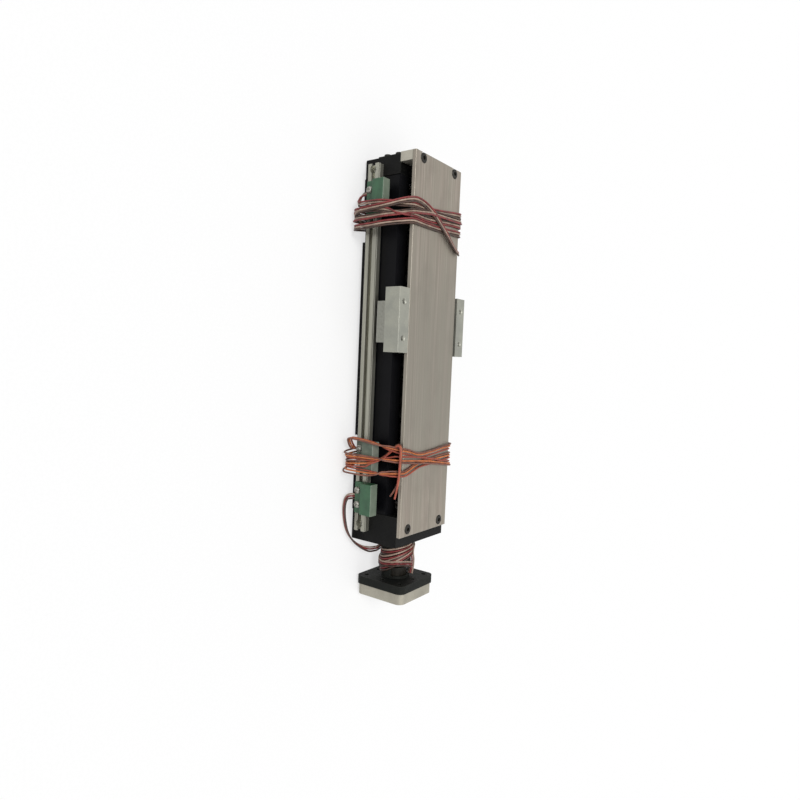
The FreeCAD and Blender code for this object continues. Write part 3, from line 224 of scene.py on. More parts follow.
def extruded_aluminium():
    """Sensor rail: pressed through a die, with fine lines along its length."""
    finish, tree, shader = new_finish("extruded_aluminium", 0.38, 0.8)
    lines = pattern(tree, 0.6, (0.008, 1, 1))
    cloud = pattern(tree, 22.0, (0.4, 1, 1), detail=2.0)
    colour = tinted(tree, add(tree, RAMP, {"stops": [(0.3, "#8e8d80"), (0.7, "#b4b3a6")]}, lines),
                    (add(tree, SPREAD, {}, cloud, *NOISE, 0.0, 0.5), "#85847a"),
                    # Painted highlight along sharp edges.
                    (edge_share(tree, 0.25), "#dad8ce"))
    dress(tree, shader, colour, add(tree, SPREAD, {}, lines, *NOISE, 0.30, 0.46), lines, 0.02)
    return finish


# The dry band at the top of the rail's walls starts this far down, and from the second depth
# up it is full, in millimetres.
DRY_START = 1.5
DRY_FULL = 0.9
DRY_ROUGHNESS = 0.95


def black_oxide_steel():
    """Guide rail: ground steel, black oxided, with a thin film of oil."""
    finish, tree, shader = new_finish("black_oxide_ground_steel", 0.42, Specular_IOR_Level=0.11)
    lines = pattern(tree, 0.7, (0.02, 1, 1))
    cloud = pattern(tree, 12.0, detail=4.0)
    stops = [(0.3, "#060609"), (0.6, "#0a0a0d"), (0.8, "#111013")]
    colour = tinted(tree, add(tree, RAMP, {"stops": stops}, cloud),
                    # Faint painted highlight along sharp edges.
                    (edge_share(tree, 0.4, 3.0), "#121215"))
    # The walls' top edges are wiped dry of the oil, so they are matt.
    wall_top = corner_mm("guide_rail", 1).z
    dry = add(tree, SPREAD, {}, place_along(tree, "Z"), (wall_top - DRY_START) * MM,
              (wall_top - DRY_FULL) * MM, 0.0, DRY_ROUGHNESS)
    oiled = add(tree, SPREAD, {}, cloud, *NOISE, 0.34, 0.52)
    dress(tree, shader, colour, add(tree, MATH, "MAXIMUM", oiled, dry), lines, 0.012)
    return finish


def cast_black_paint(name, dark, light):
    """End housings and motor bracket: sand cast, thinly painted black."""
    finish, tree, shader = new_finish(name, 0.6, Specular_IOR_Level=0.14)
    skin = pattern(tree, 1.3, detail=5.0, rough=0.6)
    cloud = pattern(tree, 9.0)
    colour = tinted(tree, add(tree, RAMP, {"stops": [(0.3, dark), (0.7, light)]}, cloud),
                    # Painted highlight along sharp edges.
                    (edge_share(tree, 0.5, 4.0), "#34332f"))
    dress(tree, shader, colour, add(tree, SPREAD, {}, skin, *NOISE, 0.5, 0.72), skin, 0.12, 0.7)
    return finish


def black_oxide_screw():
    """Socket screws: black oxided, with a painted highlight along their edges."""
    finish, tree, shader = new_finish("black_oxide_screw_steel", 0.42, 0.3, Specular_IOR_Level=0.3)
    cloud = pattern(tree, 1.6, detail=4.0)
    colour = tinted(tree, add(tree, RAMP, {"stops": [(0.3, "#0f0d09"), (0.7, "#1f1b13")]}, cloud),
                    # Painted highlight along sharp edges.
                    (edge_share(tree, 0.2, 4.0), "#4e4a3f"))
    dress(tree, shader, colour, add(tree, SPREAD, {}, cloud, *NOISE, 0.34, 0.52), cloud, 0.02)
    return finish


def zinc_plate(name, dark, light, roughness):
    """Small screws, nuts and the sensor dog: zinc plated, bright and slightly mottled."""
    finish, tree, shader = new_finish(name, roughness, 0.9)
    cloud = pattern(tree, 1.8, detail=4.0)
    colour = tinted(tree, add(tree, RAMP, {"stops": [(0.3, dark), (0.7, light)]}, cloud),
                    # Painted highlight along sharp edges.
                    (edge_share(tree, 0.2), "#e2e0d8"))
    rough = add(tree, SPREAD, {}, cloud, *NOISE, roughness - 0.06, roughness + 0.1)
    dress(tree, shader, colour, rough, cloud, 0.01)
    return finish


def ground_bearing_steel():
    """Screw, nut, balls and bearings: hardened, ground and greased, coloured dark by grease and by
    painted shade.
    """
    finish, tree, shader = new_finish("ground_bearing_steel", 0.36, 1.0, Coat_Weight=0.2,
                                      Coat_Roughness=0.35)
    grease_and_shade = pattern(tree, 6.0, detail=4.0)
    fine = pattern(tree, 0.5, (1, 0.1, 0.1), detail=2.0)
    # Darker than bare ground steel: grease, and painted shade for the shadow under the cover.
    stops = [(0.35, "#2b2822"), (0.55, "#454440"), (0.8, "#5c5b57")]
    colour = add(tree, RAMP, {"stops": stops}, grease_and_shade)
    dress(tree, shader, colour, add(tree, SPREAD, {}, grease_and_shade, *NOISE, 0.3, 0.5), fine, 0.008)
    return finish


def moulded_resin(name, dark, light, roughness, dust_and_sheen=None):
    """Sensors, end caps and bumpers: moulded, with a fine eroded skin, and where a colour is given,
    dust and a painted sheen on top faces.
    """
    finish, tree, shader = new_finish(name, roughness)
    skin = pattern(tree, 0.35, detail=2.0)
    cloud = pattern(tree, 7.0)
    colour = add(tree, RAMP, {"stops": [(0.3, dark), (0.7, light)]}, cloud)
    # Upward faces turn lighter grey: dust, and a painted sheen standing in for their gloss.
    if dust_and_sheen:
        normal = add(tree, "ShaderNodeNewGeometry").outputs["Normal"]
        upward = add(tree, "ShaderNodeSeparateXYZ", Vector=normal).outputs["Z"]
        on_top = add(tree, SPREAD, {}, upward, 0.4, 0.8, 0.0, 1.0)
        dust_and_sheen_patches = add(tree, SPREAD, {}, cloud, *NOISE, 0.65, 0.95)
        colour = tinted(tree, colour, (add(tree, MATH, "MULTIPLY", dust_and_sheen_patches, on_top), dust_and_sheen))
    rough = add(tree, SPREAD, {}, cloud, *NOISE, roughness - 0.06, roughness + 0.08)
    dress(tree, shader, colour, rough, skin, 0.02, 0.6)
    return finish


def wire_insulation(name, dark, light):
    """Extruded PVC on a thin wire: a soft gloss, rubbed and dusty in places."""
    finish, tree, shader = new_finish(name, 0.45)
    cloud = pattern(tree, 5.0, detail=4.0)
    colour = add(tree, RAMP, {"stops": [(0.32, dark), (0.68, light)]}, cloud)
    rough = add(tree, SPREAD, {}, cloud, *NOISE, 0.36, 0.58)
    dress(tree, shader, colour, rough, pattern(tree, 0.8, detail=2.0), 0.03, 0.5)
    return finish


COVER_SHEET = drawn_aluminium()
WING_ALUMINIUM = milled_aluminium("blasted_aluminium", "#94958c", "#a6a69a")
PLATE_ALUMINIUM = milled_aluminium("milled_plate_aluminium", "#9b9688", "#aea99b")
SPACER_ALUMINIUM = milled_aluminium("milled_spacer_aluminium", "#a9a497", "#bdb8aa")
RAIL_EXTRUSION = extruded_aluminium()
RAIL_STEEL = black_oxide_steel()
HOUSING_PAINT = cast_black_paint("cast_iron_black_paint", "#080808", "#111110")
FLANGE_PAINT = cast_black_paint("cast_bracket_black_paint", "#0e100e", "#181a17")
SCREW_BLACK = black_oxide_screw()
SCREW_ZINC = zinc_plate("zinc_plated_screw_steel", "#8b8b82", "#b3b2a9", 0.32)
DOG_ZINC = zinc_plate("zinc_plated_sheet", "#84847c", "#999990", 0.42)
BEARING_STEEL = ground_bearing_steel()
# The last colour is the dust and painted sheen on the sensors' top faces.
SENSOR_GREEN = moulded_resin("moulded_green_resin", "#264a32", "#345d40", 0.4, "#7a8375")
DUST_AND_SHEEN_GREEN = moulded_resin("green_resin_dust_and_sheen", "#465246", "#687163", 0.5, "#848a7f")
BLACK_ACETAL = moulded_resin("moulded_black_acetal", "#0c0c0c", "#161616", 0.45)
BUMPER_RUBBER = moulded_resin("moulded_black_rubber", "#101010", "#1b1a1a", 0.8)
CREAM_PVC = wire_insulation("cream_pvc_insulation", "#806a5c", "#ab9585")
BROWN_PVC = wire_insulation("brown_pvc_insulation", "#2d1c16", "#4a3126")
MAROON_PVC = wire_insulation("maroon_pvc_insulation", "#5c1718", "#853130")
ORANGE_PVC = wire_insulation("orange_pvc_insulation", "#a4562b", "#c87642")
BRICK_PVC = wire_insulation("brick_pvc_insulation", "#7f3425", "#9f4a35")
RUSSET_PVC = wire_insulation("russet_pvc_insulation", "#552b20", "#81503f")

NODE_FINISH = {
    "cover_plate": COVER_SHEET,
    "spacer_block": SPACER_ALUMINIUM,
    "adaptor_plate": PLATE_ALUMINIUM,
    # The coupling takes the black screw finish as painted shade, for the dark inside the neck's
    # window.
    "screw_coupling": SCREW_BLACK,
    "sensor_rail": RAIL_EXTRUSION,
    "guide_rail": RAIL_STEEL,
    "carriage_block": RAIL_STEEL,
    "far_housing": HOUSING_PAINT,
    "far_bearing_plate": HOUSING_PAINT,
    "drive_housing": HOUSING_PAINT,
    "motor_bracket": FLANGE_PAINT,
    "motor_flange": FLANGE_PAINT,
    "bearing_lock_nut": SCREW_BLACK,
    "sensor_nuts": SCREW_ZINC,
    "sensor_dog": DOG_ZINC,
    "far_bearing": BEARING_STEEL,
    "drive_bearings": BEARING_STEEL,
    "ball_nut": BEARING_STEEL,
    "guide_balls": BEARING_STEEL,
    "carriage_end_caps": BLACK_ACETAL,
    "far_bumpers": BUMPER_RUBBER,
    "drive_bumpers": BUMPER_RUBBER,
    "adaptor_screws": SCREW_ZINC,
    "coupling_screws": SCREW_BLACK,
}
for node, finish in NODE_FINISH.items():
    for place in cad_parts[node].material_slots:
        place.material = finish


# Mesh and geometry-tree helpers

def new_object(name, data):
    """An object at the origin with its data, in the scene."""
    made = bpy.data.objects.new(name, data)
    bpy.context.scene.collection.objects.link(made)
    return made


def worked_out(shape):
    """The plain mesh that an object's modifiers and curves come to."""
    graph = bpy.context.evaluated_depsgraph_get()
    return bpy.data.meshes.new_from_object(shape.evaluated_get(graph))


def welded(node):
    """A node's shape as an editable mesh whose triangles share their corners."""
    mesh = bmesh.new()
    mesh.from_mesh(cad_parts[node].data)
    bmesh.ops.remove_doubles(mesh, verts=mesh.verts, dist=WELD)
    return mesh


def finished(mesh, name):
    """An editable mesh turned into a plain one."""
    made = bpy.data.meshes.new(name)
    mesh.to_mesh(made)
    mesh.free()
    return made


def new_piece(name, mesh, body):
    """A piece at the origin that rides on a body, with the finishes its mesh carries."""
    piece = new_object(name, mesh)
    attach(piece, body)
    return piece


def new_tree(name, *lengths):
    """A geometry tree whose inputs are its seat points, named lengths, Axis and Finish."""
    tree = bpy.data.node_groups.new(name, "GeometryNodeTree")
    labels = [("Geometry", "Geometry"), *((length, "Float") for length in lengths),
              ("Axis", "Vector"), ("Finish", "Material")]
    for label, kind in labels:
        tree.interface.new_socket(label, in_out="INPUT", socket_type="NodeSocket" + kind)
    tree.interface.new_socket("Geometry", in_out="OUTPUT", socket_type="NodeSocketGeometry")
    return tree, add(tree, "NodeGroupInput").outputs


def lifted(tree, solid, height):
    """A solid moved up by a height."""
    shift = add(tree, "ShaderNodeCombineXYZ", Z=height)
    return add(tree, "GeometryNodeTransform", Geometry=solid, Translation=shift)


def cylinder(tree, sides, radius, depth, middle):
    """An upright cylinder with its middle at a height."""
    made = add(tree, "GeometryNodeMeshCylinder", Vertices=sides, Radius=radius, Depth=depth)
    return lifted(tree, made, middle)


def placed(tree, inputs, solid):
    """The solid set on every seat point, along Axis, as real faces with the Finish."""
    turn = add(tree, "FunctionNodeAlignRotationToVector", {"axis": "Z"}, Vector=inputs["Axis"])
    many = add(tree, "GeometryNodeInstanceOnPoints", Points=inputs["Geometry"], Instance=solid,
               Rotation=turn)
    real = add(tree, "GeometryNodeRealizeInstances", Geometry=many)
    dressed = add(tree, "GeometryNodeSetMaterial", Geometry=real, Material=inputs["Finish"])
    add(tree, "NodeGroupOutput", Geometry=dressed)
    return tree


def grown(name, tree, seats, body, slot, finish, **sizes):
    """A piece made by a tree on seat points in millimetres, kept as a plain mesh."""
    mesh = bpy.data.meshes.new(name)
    mesh.from_pydata([Vector(seat) * MM for seat in seats], [], [])
    piece = new_object(name, mesh)
    modifier = piece.modifiers.new(tree.name, "NODES")
    modifier.node_group = tree
    wanted = {label.replace("_", " "): value for label, value in sizes.items()}
    wanted["Finish"] = finish
    for socket in tree.interface.items_tree:
        if socket.in_out == "INPUT" and socket.name in wanted:
            value = wanted[socket.name]
            modifier[socket.identifier] = value * MM if isinstance(value, float) else value
    made = worked_out(piece)
    piece.modifiers.clear()
    piece.data = made
    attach(piece, body)
    return piece


# Every other corner of a knurled head is drawn in to this share of its radius.
KNURL = 0.965
# A shank reaches a little into its head: its middle lies at this share of its length.
SHANK_MIDDLE = -0.49


def socket_screw_tree():
    """Socket-head screw: knurled head with a broken edge, hexagon socket and shank."""
    tree, inputs = new_tree("socket_screws", "Head Radius", "Head Height", "Edge",
                            "Socket Radius", "Socket Depth", "Shank Radius", "Shank Length")
    wall = add(tree, MATH, "SUBTRACT", inputs["Head Height"], inputs["Edge"])
    half = add(tree, MATH, "MULTIPLY", wall, 0.5)
    barrel = cylinder(tree, 48, inputs["Head Radius"], wall, half)
    odd = add(tree, MATH, "MODULO", add(tree, "GeometryNodeInputIndex"), 2.0)
    here = add(tree, "GeometryNodeInputPosition")
    drawn_in = add(tree, VECTOR_MATH, "MULTIPLY", here, Vector((KNURL, KNURL, 1.0)))
    knurled = add(tree, "GeometryNodeSetPosition", Geometry=barrel, Selection=odd,
                  Position=drawn_in)
    neck = add(tree, MATH, "SUBTRACT", inputs["Head Radius"], inputs["Edge"])
    rim = add(tree, "GeometryNodeMeshCone", Vertices=48, Radius_Top=neck,
              Radius_Bottom=inputs["Head Radius"], Depth=inputs["Edge"])
    rim = lifted(tree, rim, wall)
    middle = add(tree, MATH, "MULTIPLY", inputs["Shank Length"], SHANK_MIDDLE)
    shank = cylinder(tree, 24, inputs["Shank Radius"], inputs["Shank Length"], middle)
    deep = add(tree, MATH, "MULTIPLY", inputs["Socket Depth"], 2.0)
    socket = cylinder(tree, 6, inputs["Socket Radius"], deep, inputs["Head Height"])
    whole = add(tree, BOOLEAN, "UNION", [knurled, rim, shank])
    return placed(tree, inputs, add(tree, BOOLEAN, "DIFFERENCE", whole, socket))


# A pan head's dome is cut off at this share of its radius.
PAN_WALL = 0.97


def pan_screw_tree():
    """Pan-head screw: low dome with a cross recess, and its shank."""
    tree, inputs = new_tree("pan_head_screws", "Head Radius", "Head Height", "Cross Reach",
                            "Cross Width", "Cross Depth", "Shank Radius", "Shank Length")
    radius, height = inputs["Head Radius"], inputs["Head Height"]
    squares = add(tree, MATH, "ADD", add(tree, MATH, "MULTIPLY", radius, radius),
                  add(tree, MATH, "MULTIPLY", height, height))
    ball = add(tree, MATH, "DIVIDE", squares, add(tree, MATH, "MULTIPLY", height, 2.0))
    dome = add(tree, "GeometryNodeMeshUVSphere", Segments=40, Rings=40, Radius=ball)
    dome = lifted(tree, dome, add(tree, MATH, "SUBTRACT", height, ball))
    wall = add(tree, MATH, "MULTIPLY", radius, PAN_WALL)
    band = cylinder(tree, 40, wall, height, add(tree, MATH, "MULTIPLY", height, 0.5))
    head = add(tree, BOOLEAN, "INTERSECT", [dome, band])
    long_side = add(tree, MATH, "MULTIPLY", inputs["Cross Reach"], 2.0)
    deep = add(tree, MATH, "MULTIPLY", inputs["Cross Depth"], 2.0)
    blades = []
    for x, y in ((long_side, inputs["Cross Width"]), (inputs["Cross Width"], long_side)):
        size = add(tree, "ShaderNodeCombineXYZ", X=x, Y=y, Z=deep)
        blades.append(lifted(tree, add(tree, "GeometryNodeMeshCube", Size=size), height))
    middle = add(tree, MATH, "MULTIPLY", inputs["Shank Length"], SHANK_MIDDLE)
    shank = cylinder(tree, 24, inputs["Shank Radius"], inputs["Shank Length"], middle)
    whole = add(tree, BOOLEAN, "UNION", [head, shank])
    return placed(tree, inputs, add(tree, BOOLEAN, "DIFFERENCE", whole, blades))


def hole_thread_tree():
    """Thread of a tapped hole: a fine helical ridge down its wall."""
    tree, inputs = new_tree("tapped_thread", "Radius", "Depth", "Pitch", "Ridge")
    turns = add(tree, MATH, "DIVIDE", inputs["Depth"], inputs["Pitch"])
    helix = add(tree, "GeometryNodeCurveSpiral", Resolution=20, Rotations=turns,
                Start_Radius=inputs["Radius"], End_Radius=inputs["Radius"], Height=inputs["Depth"])
    section = add(tree, "GeometryNodeCurvePrimitiveCircle", Resolution=3, Radius=inputs["Ridge"])
    ridge = add(tree, "GeometryNodeCurveToMesh", Curve=helix, Profile_Curve=section, Fill_Caps=True)
    return placed(tree, inputs, ridge)


# Rows of a sheet further than this from its middle, of 0.5, are drawn in to close the ends.
LAST_OPEN_ROW = 0.4995


def screw_thread_tree():
    """Threaded shaft along X: a round groove for the balls, wound with the lead."""
    tree, inputs = new_tree("ball_screw_thread", "Length", "Radius", "Lead", "Groove", "Half Width")
    grid = add(tree, "GeometryNodeMeshGrid", Size_X=1.0, Size_Y=1.0, Vertices_X=520, Vertices_Y=25)
    here = add(tree, "ShaderNodeSeparateXYZ", Vector=add(tree, "GeometryNodeInputPosition"))
    # The sheet's X is the place along the shaft, and its Y the share of the way round it.
    along = add(tree, MATH, "ADD", here.outputs["X"], 0.5)
    along = add(tree, MATH, "MULTIPLY", along, inputs["Length"])
    share = add(tree, MATH, "ADD", here.outputs["Y"], 0.5)
    wound = add(tree, MATH, "SUBTRACT", add(tree, MATH, "DIVIDE", along, inputs["Lead"]), share)
    off = add(tree, MATH, "SUBTRACT", add(tree, MATH, "FRACT", wound), 0.5)
    off = add(tree, MATH, "MULTIPLY", add(tree, MATH, "ABSOLUTE", off), inputs["Lead"])
    near = add(tree, MATH, "DIVIDE", off, inputs["Half Width"])
    bowl = add(tree, MATH, "SUBTRACT", 1.0, add(tree, MATH, "MULTIPLY", near, near))
    bowl = add(tree, MATH, "MAXIMUM", bowl, 0.0)
    bowl = add(tree, MATH, "MULTIPLY", bowl, inputs["Groove"])
    radius = add(tree, MATH, "SUBTRACT", inputs["Radius"], bowl)
    inner = add(tree, MATH, "ABSOLUTE", here.outputs["X"])
    inner = add(tree, MATH, "LESS_THAN", inner, LAST_OPEN_ROW)
    radius = add(tree, MATH, "MULTIPLY", radius, inner)
    angle = add(tree, MATH, "MULTIPLY", share, math.tau)
    across = add(tree, MATH, "MULTIPLY", radius, add(tree, MATH, "SINE", angle))
    up = add(tree, MATH, "MULTIPLY", radius, add(tree, MATH, "COSINE", angle))
    where = add(tree, "ShaderNodeCombineXYZ", X=up, Y=across, Z=along)
    tube = add(tree, "GeometryNodeSetPosition", Geometry=grid, Position=where)
    closed = add(tree, "GeometryNodeMergeByDistance", Geometry=tube, Distance=TUBE_WELD)
    return placed(tree, inputs, closed)


SOCKET_SCREWS = socket_screw_tree()
PAN_SCREWS = pan_screw_tree()
TAPPED_THREAD = hole_thread_tree()
BALL_SCREW_THREAD = screw_thread_tree()


def solid_seats(node, axis, end):
    """The middle of each solid's box in a node, on its low or high side along an axis."""
    mesh = welded(node)
    seats = []
    waiting = set(mesh.verts)
    while waiting:
        group = [waiting.pop()]
        for vertex in group:
            for edge in vertex.link_edges:
                other = edge.other_vert(vertex)
                if other in waiting:
                    waiting.remove(other)
                    group.append(other)
        low = [min(v.co[i] for v in group) / MM for i in range(3)]
        high = [max(v.co[i] for v in group) / MM for i in range(3)]
        seat = [(a + b) / 2 for a, b in zip(low, high)]
        seat[axis] = (low, high)[end][axis]
        seats.append(seat)
    mesh.free()
    return sorted(seats)


def fasteners(name, tree, node, body, slot, finish, axis, sign, head_height, **sizes):
    """Detailed screws in place of a node's plain ones; sign tells which way the heads face."""
    seats = solid_seats(node, axis, 1 if sign > 0 else 0)
    for seat in seats:
        seat[axis] -= sign * head_height
    direction = [0.0, 0.0, 0.0]
    direction[axis] = float(sign)
    piece = grown(name, tree, seats, body, slot, finish, Head_Height=head_height, Axis=direction,
                  **sizes)
    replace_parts(piece, node)


# Screws

fasteners("cover_socket_screws", SOCKET_SCREWS, "cover_screws", "base", "black_screw", SCREW_BLACK,
          2, 1, 2.1, Head_Radius=3.5, Edge=0.35, Socket_Radius=1.6, Socket_Depth=1.3,
          Shank_Radius=1.9, Shank_Length=15.5)
fasteners("far_plate_cap_screws", SOCKET_SCREWS, "far_plate_screws", "base", "black_screw",
          SCREW_BLACK, 0, -1, 1.8, Head_Radius=2.6, Edge=0.25, Socket_Radius=1.4, Socket_Depth=1.0,
          Shank_Radius=1.5, Shank_Length=8.0)
fasteners("saddle_socket_screws", SOCKET_SCREWS, "saddle_screws", "carriage", "black_screw",
          SCREW_BLACK, 2, 1, 3.8, Head_Radius=3.5, Edge=0.35, Socket_Radius=1.7, Socket_Depth=1.9,
          Shank_Radius=1.9, Shank_Length=10.0)
M3_PAN_HEAD = {"Head_Radius": 2.75, "Cross_Reach": 1.6, "Cross_Width": 0.65, "Cross_Depth": 1.1}
fasteners("sensor_pan_screws", PAN_SCREWS, "sensor_screws", "base", "bright_screw", SCREW_ZINC,
          1, -1, 1.9, **M3_PAN_HEAD, Shank_Radius=1.45, Shank_Length=7.5)
fasteners("rail_pan_screws", PAN_SCREWS, "sensor_rail_screws", "base", "bright_screw", SCREW_ZINC,
          1, -1, 1.9, **M3_PAN_HEAD, Shank_Radius=1.5, Shank_Length=10.0)
fasteners("dog_pan_screws", PAN_SCREWS, "sensor_dog_screws", "carriage", "bright_screw", SCREW_ZINC,
          2, -1, 1.3, Head_Radius=2.0, Cross_Reach=1.2, Cross_Width=0.5, Cross_Depth=0.8,
          Shank_Radius=1.1, Shank_Length=4.7)


# Threads

saddle_low, saddle_high = corner_mm("carriage_saddle", 0), corner_mm("carriage_saddle", 1)
saddle_middle = (saddle_low.x + saddle_high.x) / 2
WING_PITCH_ALONG = 25.0
WING_PITCH_ACROSS = 75.0
# The threads lie between these depths under the wings' faces, clear of the countersinks.
WING_THREAD_TOP = 1.0
WING_THREAD_BOTTOM = 8.3
WING_THREAD_RADIUS = 1.62
WING_THREAD_PITCH = 0.7
WING_THREAD_RIDGE = 0.28
SINK_DEPTH = 0.7
SINK_RADIUS = 2.35
wing_holes = [(saddle_middle + along * WING_PITCH_ALONG / 2, across * WING_PITCH_ACROSS / 2,
               saddle_high.z - WING_THREAD_BOTTOM)
              for along in (-1, 1) for across in (-1, 1)]
grown("wing_hole_threads", TAPPED_THREAD, wing_holes, "carriage", "aluminium", SCREW_ZINC,
      Radius=WING_THREAD_RADIUS, Depth=WING_THREAD_BOTTOM - WING_THREAD_TOP,
      Pitch=WING_THREAD_PITCH, Ridge=WING_THREAD_RIDGE, Axis=(0.0, 0.0, 1.0))


# Milled and moulded pieces with their edges broken

# Edges are broken by this width in millimetres where their faces meet at more than this angle.
BROKEN_EDGE = 0.35
SHARP_EDGE = math.radians(50.0)
# Triangles that lie flatter than this to each other are one face.
FLAT = math.radians(1.0)


def cone_cutter(places, top, radius, depth, rise=0.3):
    """Cones at places in millimetres, as a cutter that stands a little above the surface."""
    mesh = bmesh.new()
    for x, y in places:
        middle = Vector((x, y, top + (rise - depth) / 2)) * MM
        bmesh.ops.create_cone(mesh, cap_ends=True, segments=32, radius1=(radius - depth) * MM,
                              radius2=(radius + rise) * MM, depth=(depth + rise) * MM,
                              matrix=Matrix.Translation(middle))
    return new_object("cutter", finished(mesh, "cutter"))


def edge_broken(name, node, body, finish, cutter=None):
    """A node's shape with its sharp edges rounded, in its place."""
    mesh = welded(node)
    bmesh.ops.dissolve_limit(mesh, angle_limit=FLAT, verts=mesh.verts, edges=mesh.edges)
    shape = new_object(name + "_shape", finished(mesh, name))
    if cutter:
        cut = shape.modifiers.new("countersinks", "BOOLEAN")
        cut.operation = "DIFFERENCE"
        cut.object = cutter
    rounding = shape.modifiers.new("broken_edges", "BEVEL")
    rounding.width = BROKEN_EDGE * MM
    rounding.segments = 2
    rounding.limit_method = "ANGLE"
    rounding.angle_limit = SHARP_EDGE
    rounding.harden_normals = True
    result = worked_out(shape)
    result.name = name
    bpy.data.objects.remove(shape)
    if cutter:
        bpy.data.objects.remove(cutter)
    result.materials.clear()
    result.materials.append(finish)
    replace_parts(new_piece(name, result, body), node)


sinks = cone_cutter([hole[:2] for hole in wing_holes], saddle_high.z, SINK_RADIUS, SINK_DEPTH)
edge_broken("milled_saddle", "carriage_saddle", "carriage", WING_ALUMINIUM, sinks)
for node, finish in (("far_limit_sensor", SENSOR_GREEN), ("home_sensor", DUST_AND_SHEEN_GREEN),
                     ("drive_limit_sensor", SENSOR_GREEN)):
    edge_broken("moulded_" + node, node, "base", finish)


def turned(name, stations, sides=40):
    """A closed shape turned about the screw's axis through (x, radius) stations."""
    mesh = bmesh.new()
    rings = []
    for x, radius in stations:
        if radius == 0:
            rings.append([mesh.verts.new(Vector((x, 0, AXIS_HEIGHT)) * MM)])
            continue
        ring = []
        for index in range(sides):
            angle = math.tau * index / sides
            point = Vector((x, radius * math.sin(angle), AXIS_HEIGHT + radius * math.cos(angle)))
            ring.append(mesh.verts.new(point * MM))
        rings.append(ring)
    for first, second in zip(rings, rings[1:]):
        for index in range(sides):
            after = (index + 1) % sides
            corners = [first[index % len(first)], first[after % len(first)],
                       second[after % len(second)], second[index % len(second)]]
            mesh.faces.new(list(dict.fromkeys(corners)))
    bmesh.ops.recalc_face_normals(mesh, faces=mesh.faces)
    return finished(mesh, name)


# The screw's steps repeat its construction: journal, thread, shoulder, bearing seat, end.
screw_low, screw_high = corner_mm("ball_screw", 0), corner_mm("ball_screw", 1)
FAR_INSET = 2.5
DRIVE_INSET = 5.0
MOTOR_END_LENGTH = 14.0
# The plain ends reach this far into the thread.
FAR_OVERLAP = 0.4
DRIVE_OVERLAP = 0.5
thread_start = corner_mm("guide_rail", 0).x + FAR_INSET
thread_end = corner_mm("guide_rail", 1).x - DRIVE_INSET
bearing_start = corner_mm("drive_bearings", 0).x
motor_end_start = screw_high.x - MOTOR_END_LENGTH
SCREW_RADIUS = 6.0
JOURNAL = 3.0
JOURNAL_CHAMFER = 0.3
FAR_SHOULDER = 4.7
DRIVE_SHOULDER = 5.4
BEARING_SEAT = 4.0
MOTOR_END = 3.0
MOTOR_END_CHAMFER = 0.4
far_shaft = turned("far_shaft", [
    (screw_low.x, 0),
    (screw_low.x, JOURNAL - JOURNAL_CHAMFER),
    (screw_low.x + JOURNAL_CHAMFER, JOURNAL),
    (thread_start, JOURNAL),
    (thread_start, FAR_SHOULDER),
    (thread_start + FAR_OVERLAP, FAR_SHOULDER),
    (thread_start + FAR_OVERLAP, 0)])
drive_shaft = turned("drive_shaft", [
    (thread_end - DRIVE_OVERLAP, 0),
    (thread_end - DRIVE_OVERLAP, DRIVE_SHOULDER),
    (bearing_start, DRIVE_SHOULDER),
    (bearing_start, BEARING_SEAT),
    (motor_end_start, BEARING_SEAT),
    (motor_end_start, MOTOR_END),
    (screw_high.x - MOTOR_END_CHAMFER, MOTOR_END),
    (screw_high.x, MOTOR_END - MOTOR_END_CHAMFER),
    (screw_high.x, 0)])
screw_piece = grown("threaded_screw", BALL_SCREW_THREAD, [(thread_start, 0, AXIS_HEIGHT)], "screw",
                    "bearing_steel", BEARING_STEEL, Length=thread_end - thread_start,
                    Radius=SCREW_RADIUS, Lead=10.0, Groove=1.3, Half_Width=1.9,
                    Axis=(1.0, 0.0, 0.0))
joined = bmesh.new()
joined.from_mesh(screw_piece.data)
for mesh in (far_shaft, drive_shaft):
    joined.from_mesh(mesh)
joined.to_mesh(screw_piece.data)
joined.free()
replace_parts(screw_piece, "ball_screw")


# Sensor leads. Each is three thin wires side by side, and has no sheath.

WIRE_RADIUS = 0.65
WIRE_PITCH = 1.37

# One turn round the stage, from low on the sensors' side, over the cover and back under the
# rail: how far along the marks left, edge, gather, right and under (0 to 5), then y and z.
ROUND_THE_STAGE = [
    (-0.10, -43.4, 4.4),
    (0.00, -45.2, 8.6),
    (0.05, -45.1, 15.0),
    (0.15, -44.8, 22.0),
    (0.30, -44.1, 28.6),
    (0.50, -40.9, 33.0),
    (0.75, -36.0, 39.4),
    (0.95, -31.9, 45.8),
    (1.00, -29.2, 47.3),
    (1.30, -23.0, 46.9),
    (2.00, -12.0, 46.8),
    (2.35, 2.0, 46.8),
    (2.75, 18.0, 46.8),
    (2.98, 28.8, 47.5),
    (3.00, 31.9, 46.2),
    (3.02, 31.4, 38.0),
    (3.06, 31.3, 27.0),
    (3.10, 31.3, 16.0),
    (3.15, 31.2, 6.0),
    (3.20, 30.8, 1.9),
    (3.35, 26.0, 1.4),
    (3.65, 10.0, 1.35),
    (4.00, -8.0, 1.35),
    (4.40, -26.0, 1.4),
    (4.60, -33.0, 1.5),
    (4.80, -39.4, 2.0),
]


def between(values, place, ease=1.0):
    """A value from a row of marks, going straight or easing from one mark to the next."""
    index = max(0, min(int(place), len(values) - 2))
    share = max(0.0, min(place - index, 1.0))
    share += ease * (share * share * (3 - 2 * share) - share)
    return values[index] + (values[index + 1] - values[index]) * share


# A turn goes partly straight and partly eased from one mark to the next.
MARK_EASE = 0.35
# The mark at which a turn's change starts, and over how many marks it goes.
TWIST_OVER = (0.3, 0.7)
TWIST_BACK = (3.0, 1.2)
LIFT_UP = (0.75, 0.6)
LIFT_DOWN = (2.8, 0.3)


def gone(place, change):
    """How far a turn's change has gone at a place, from 0 to 1."""
    start, length = change
    return between([0.0, 1.0], (place - start) / length)


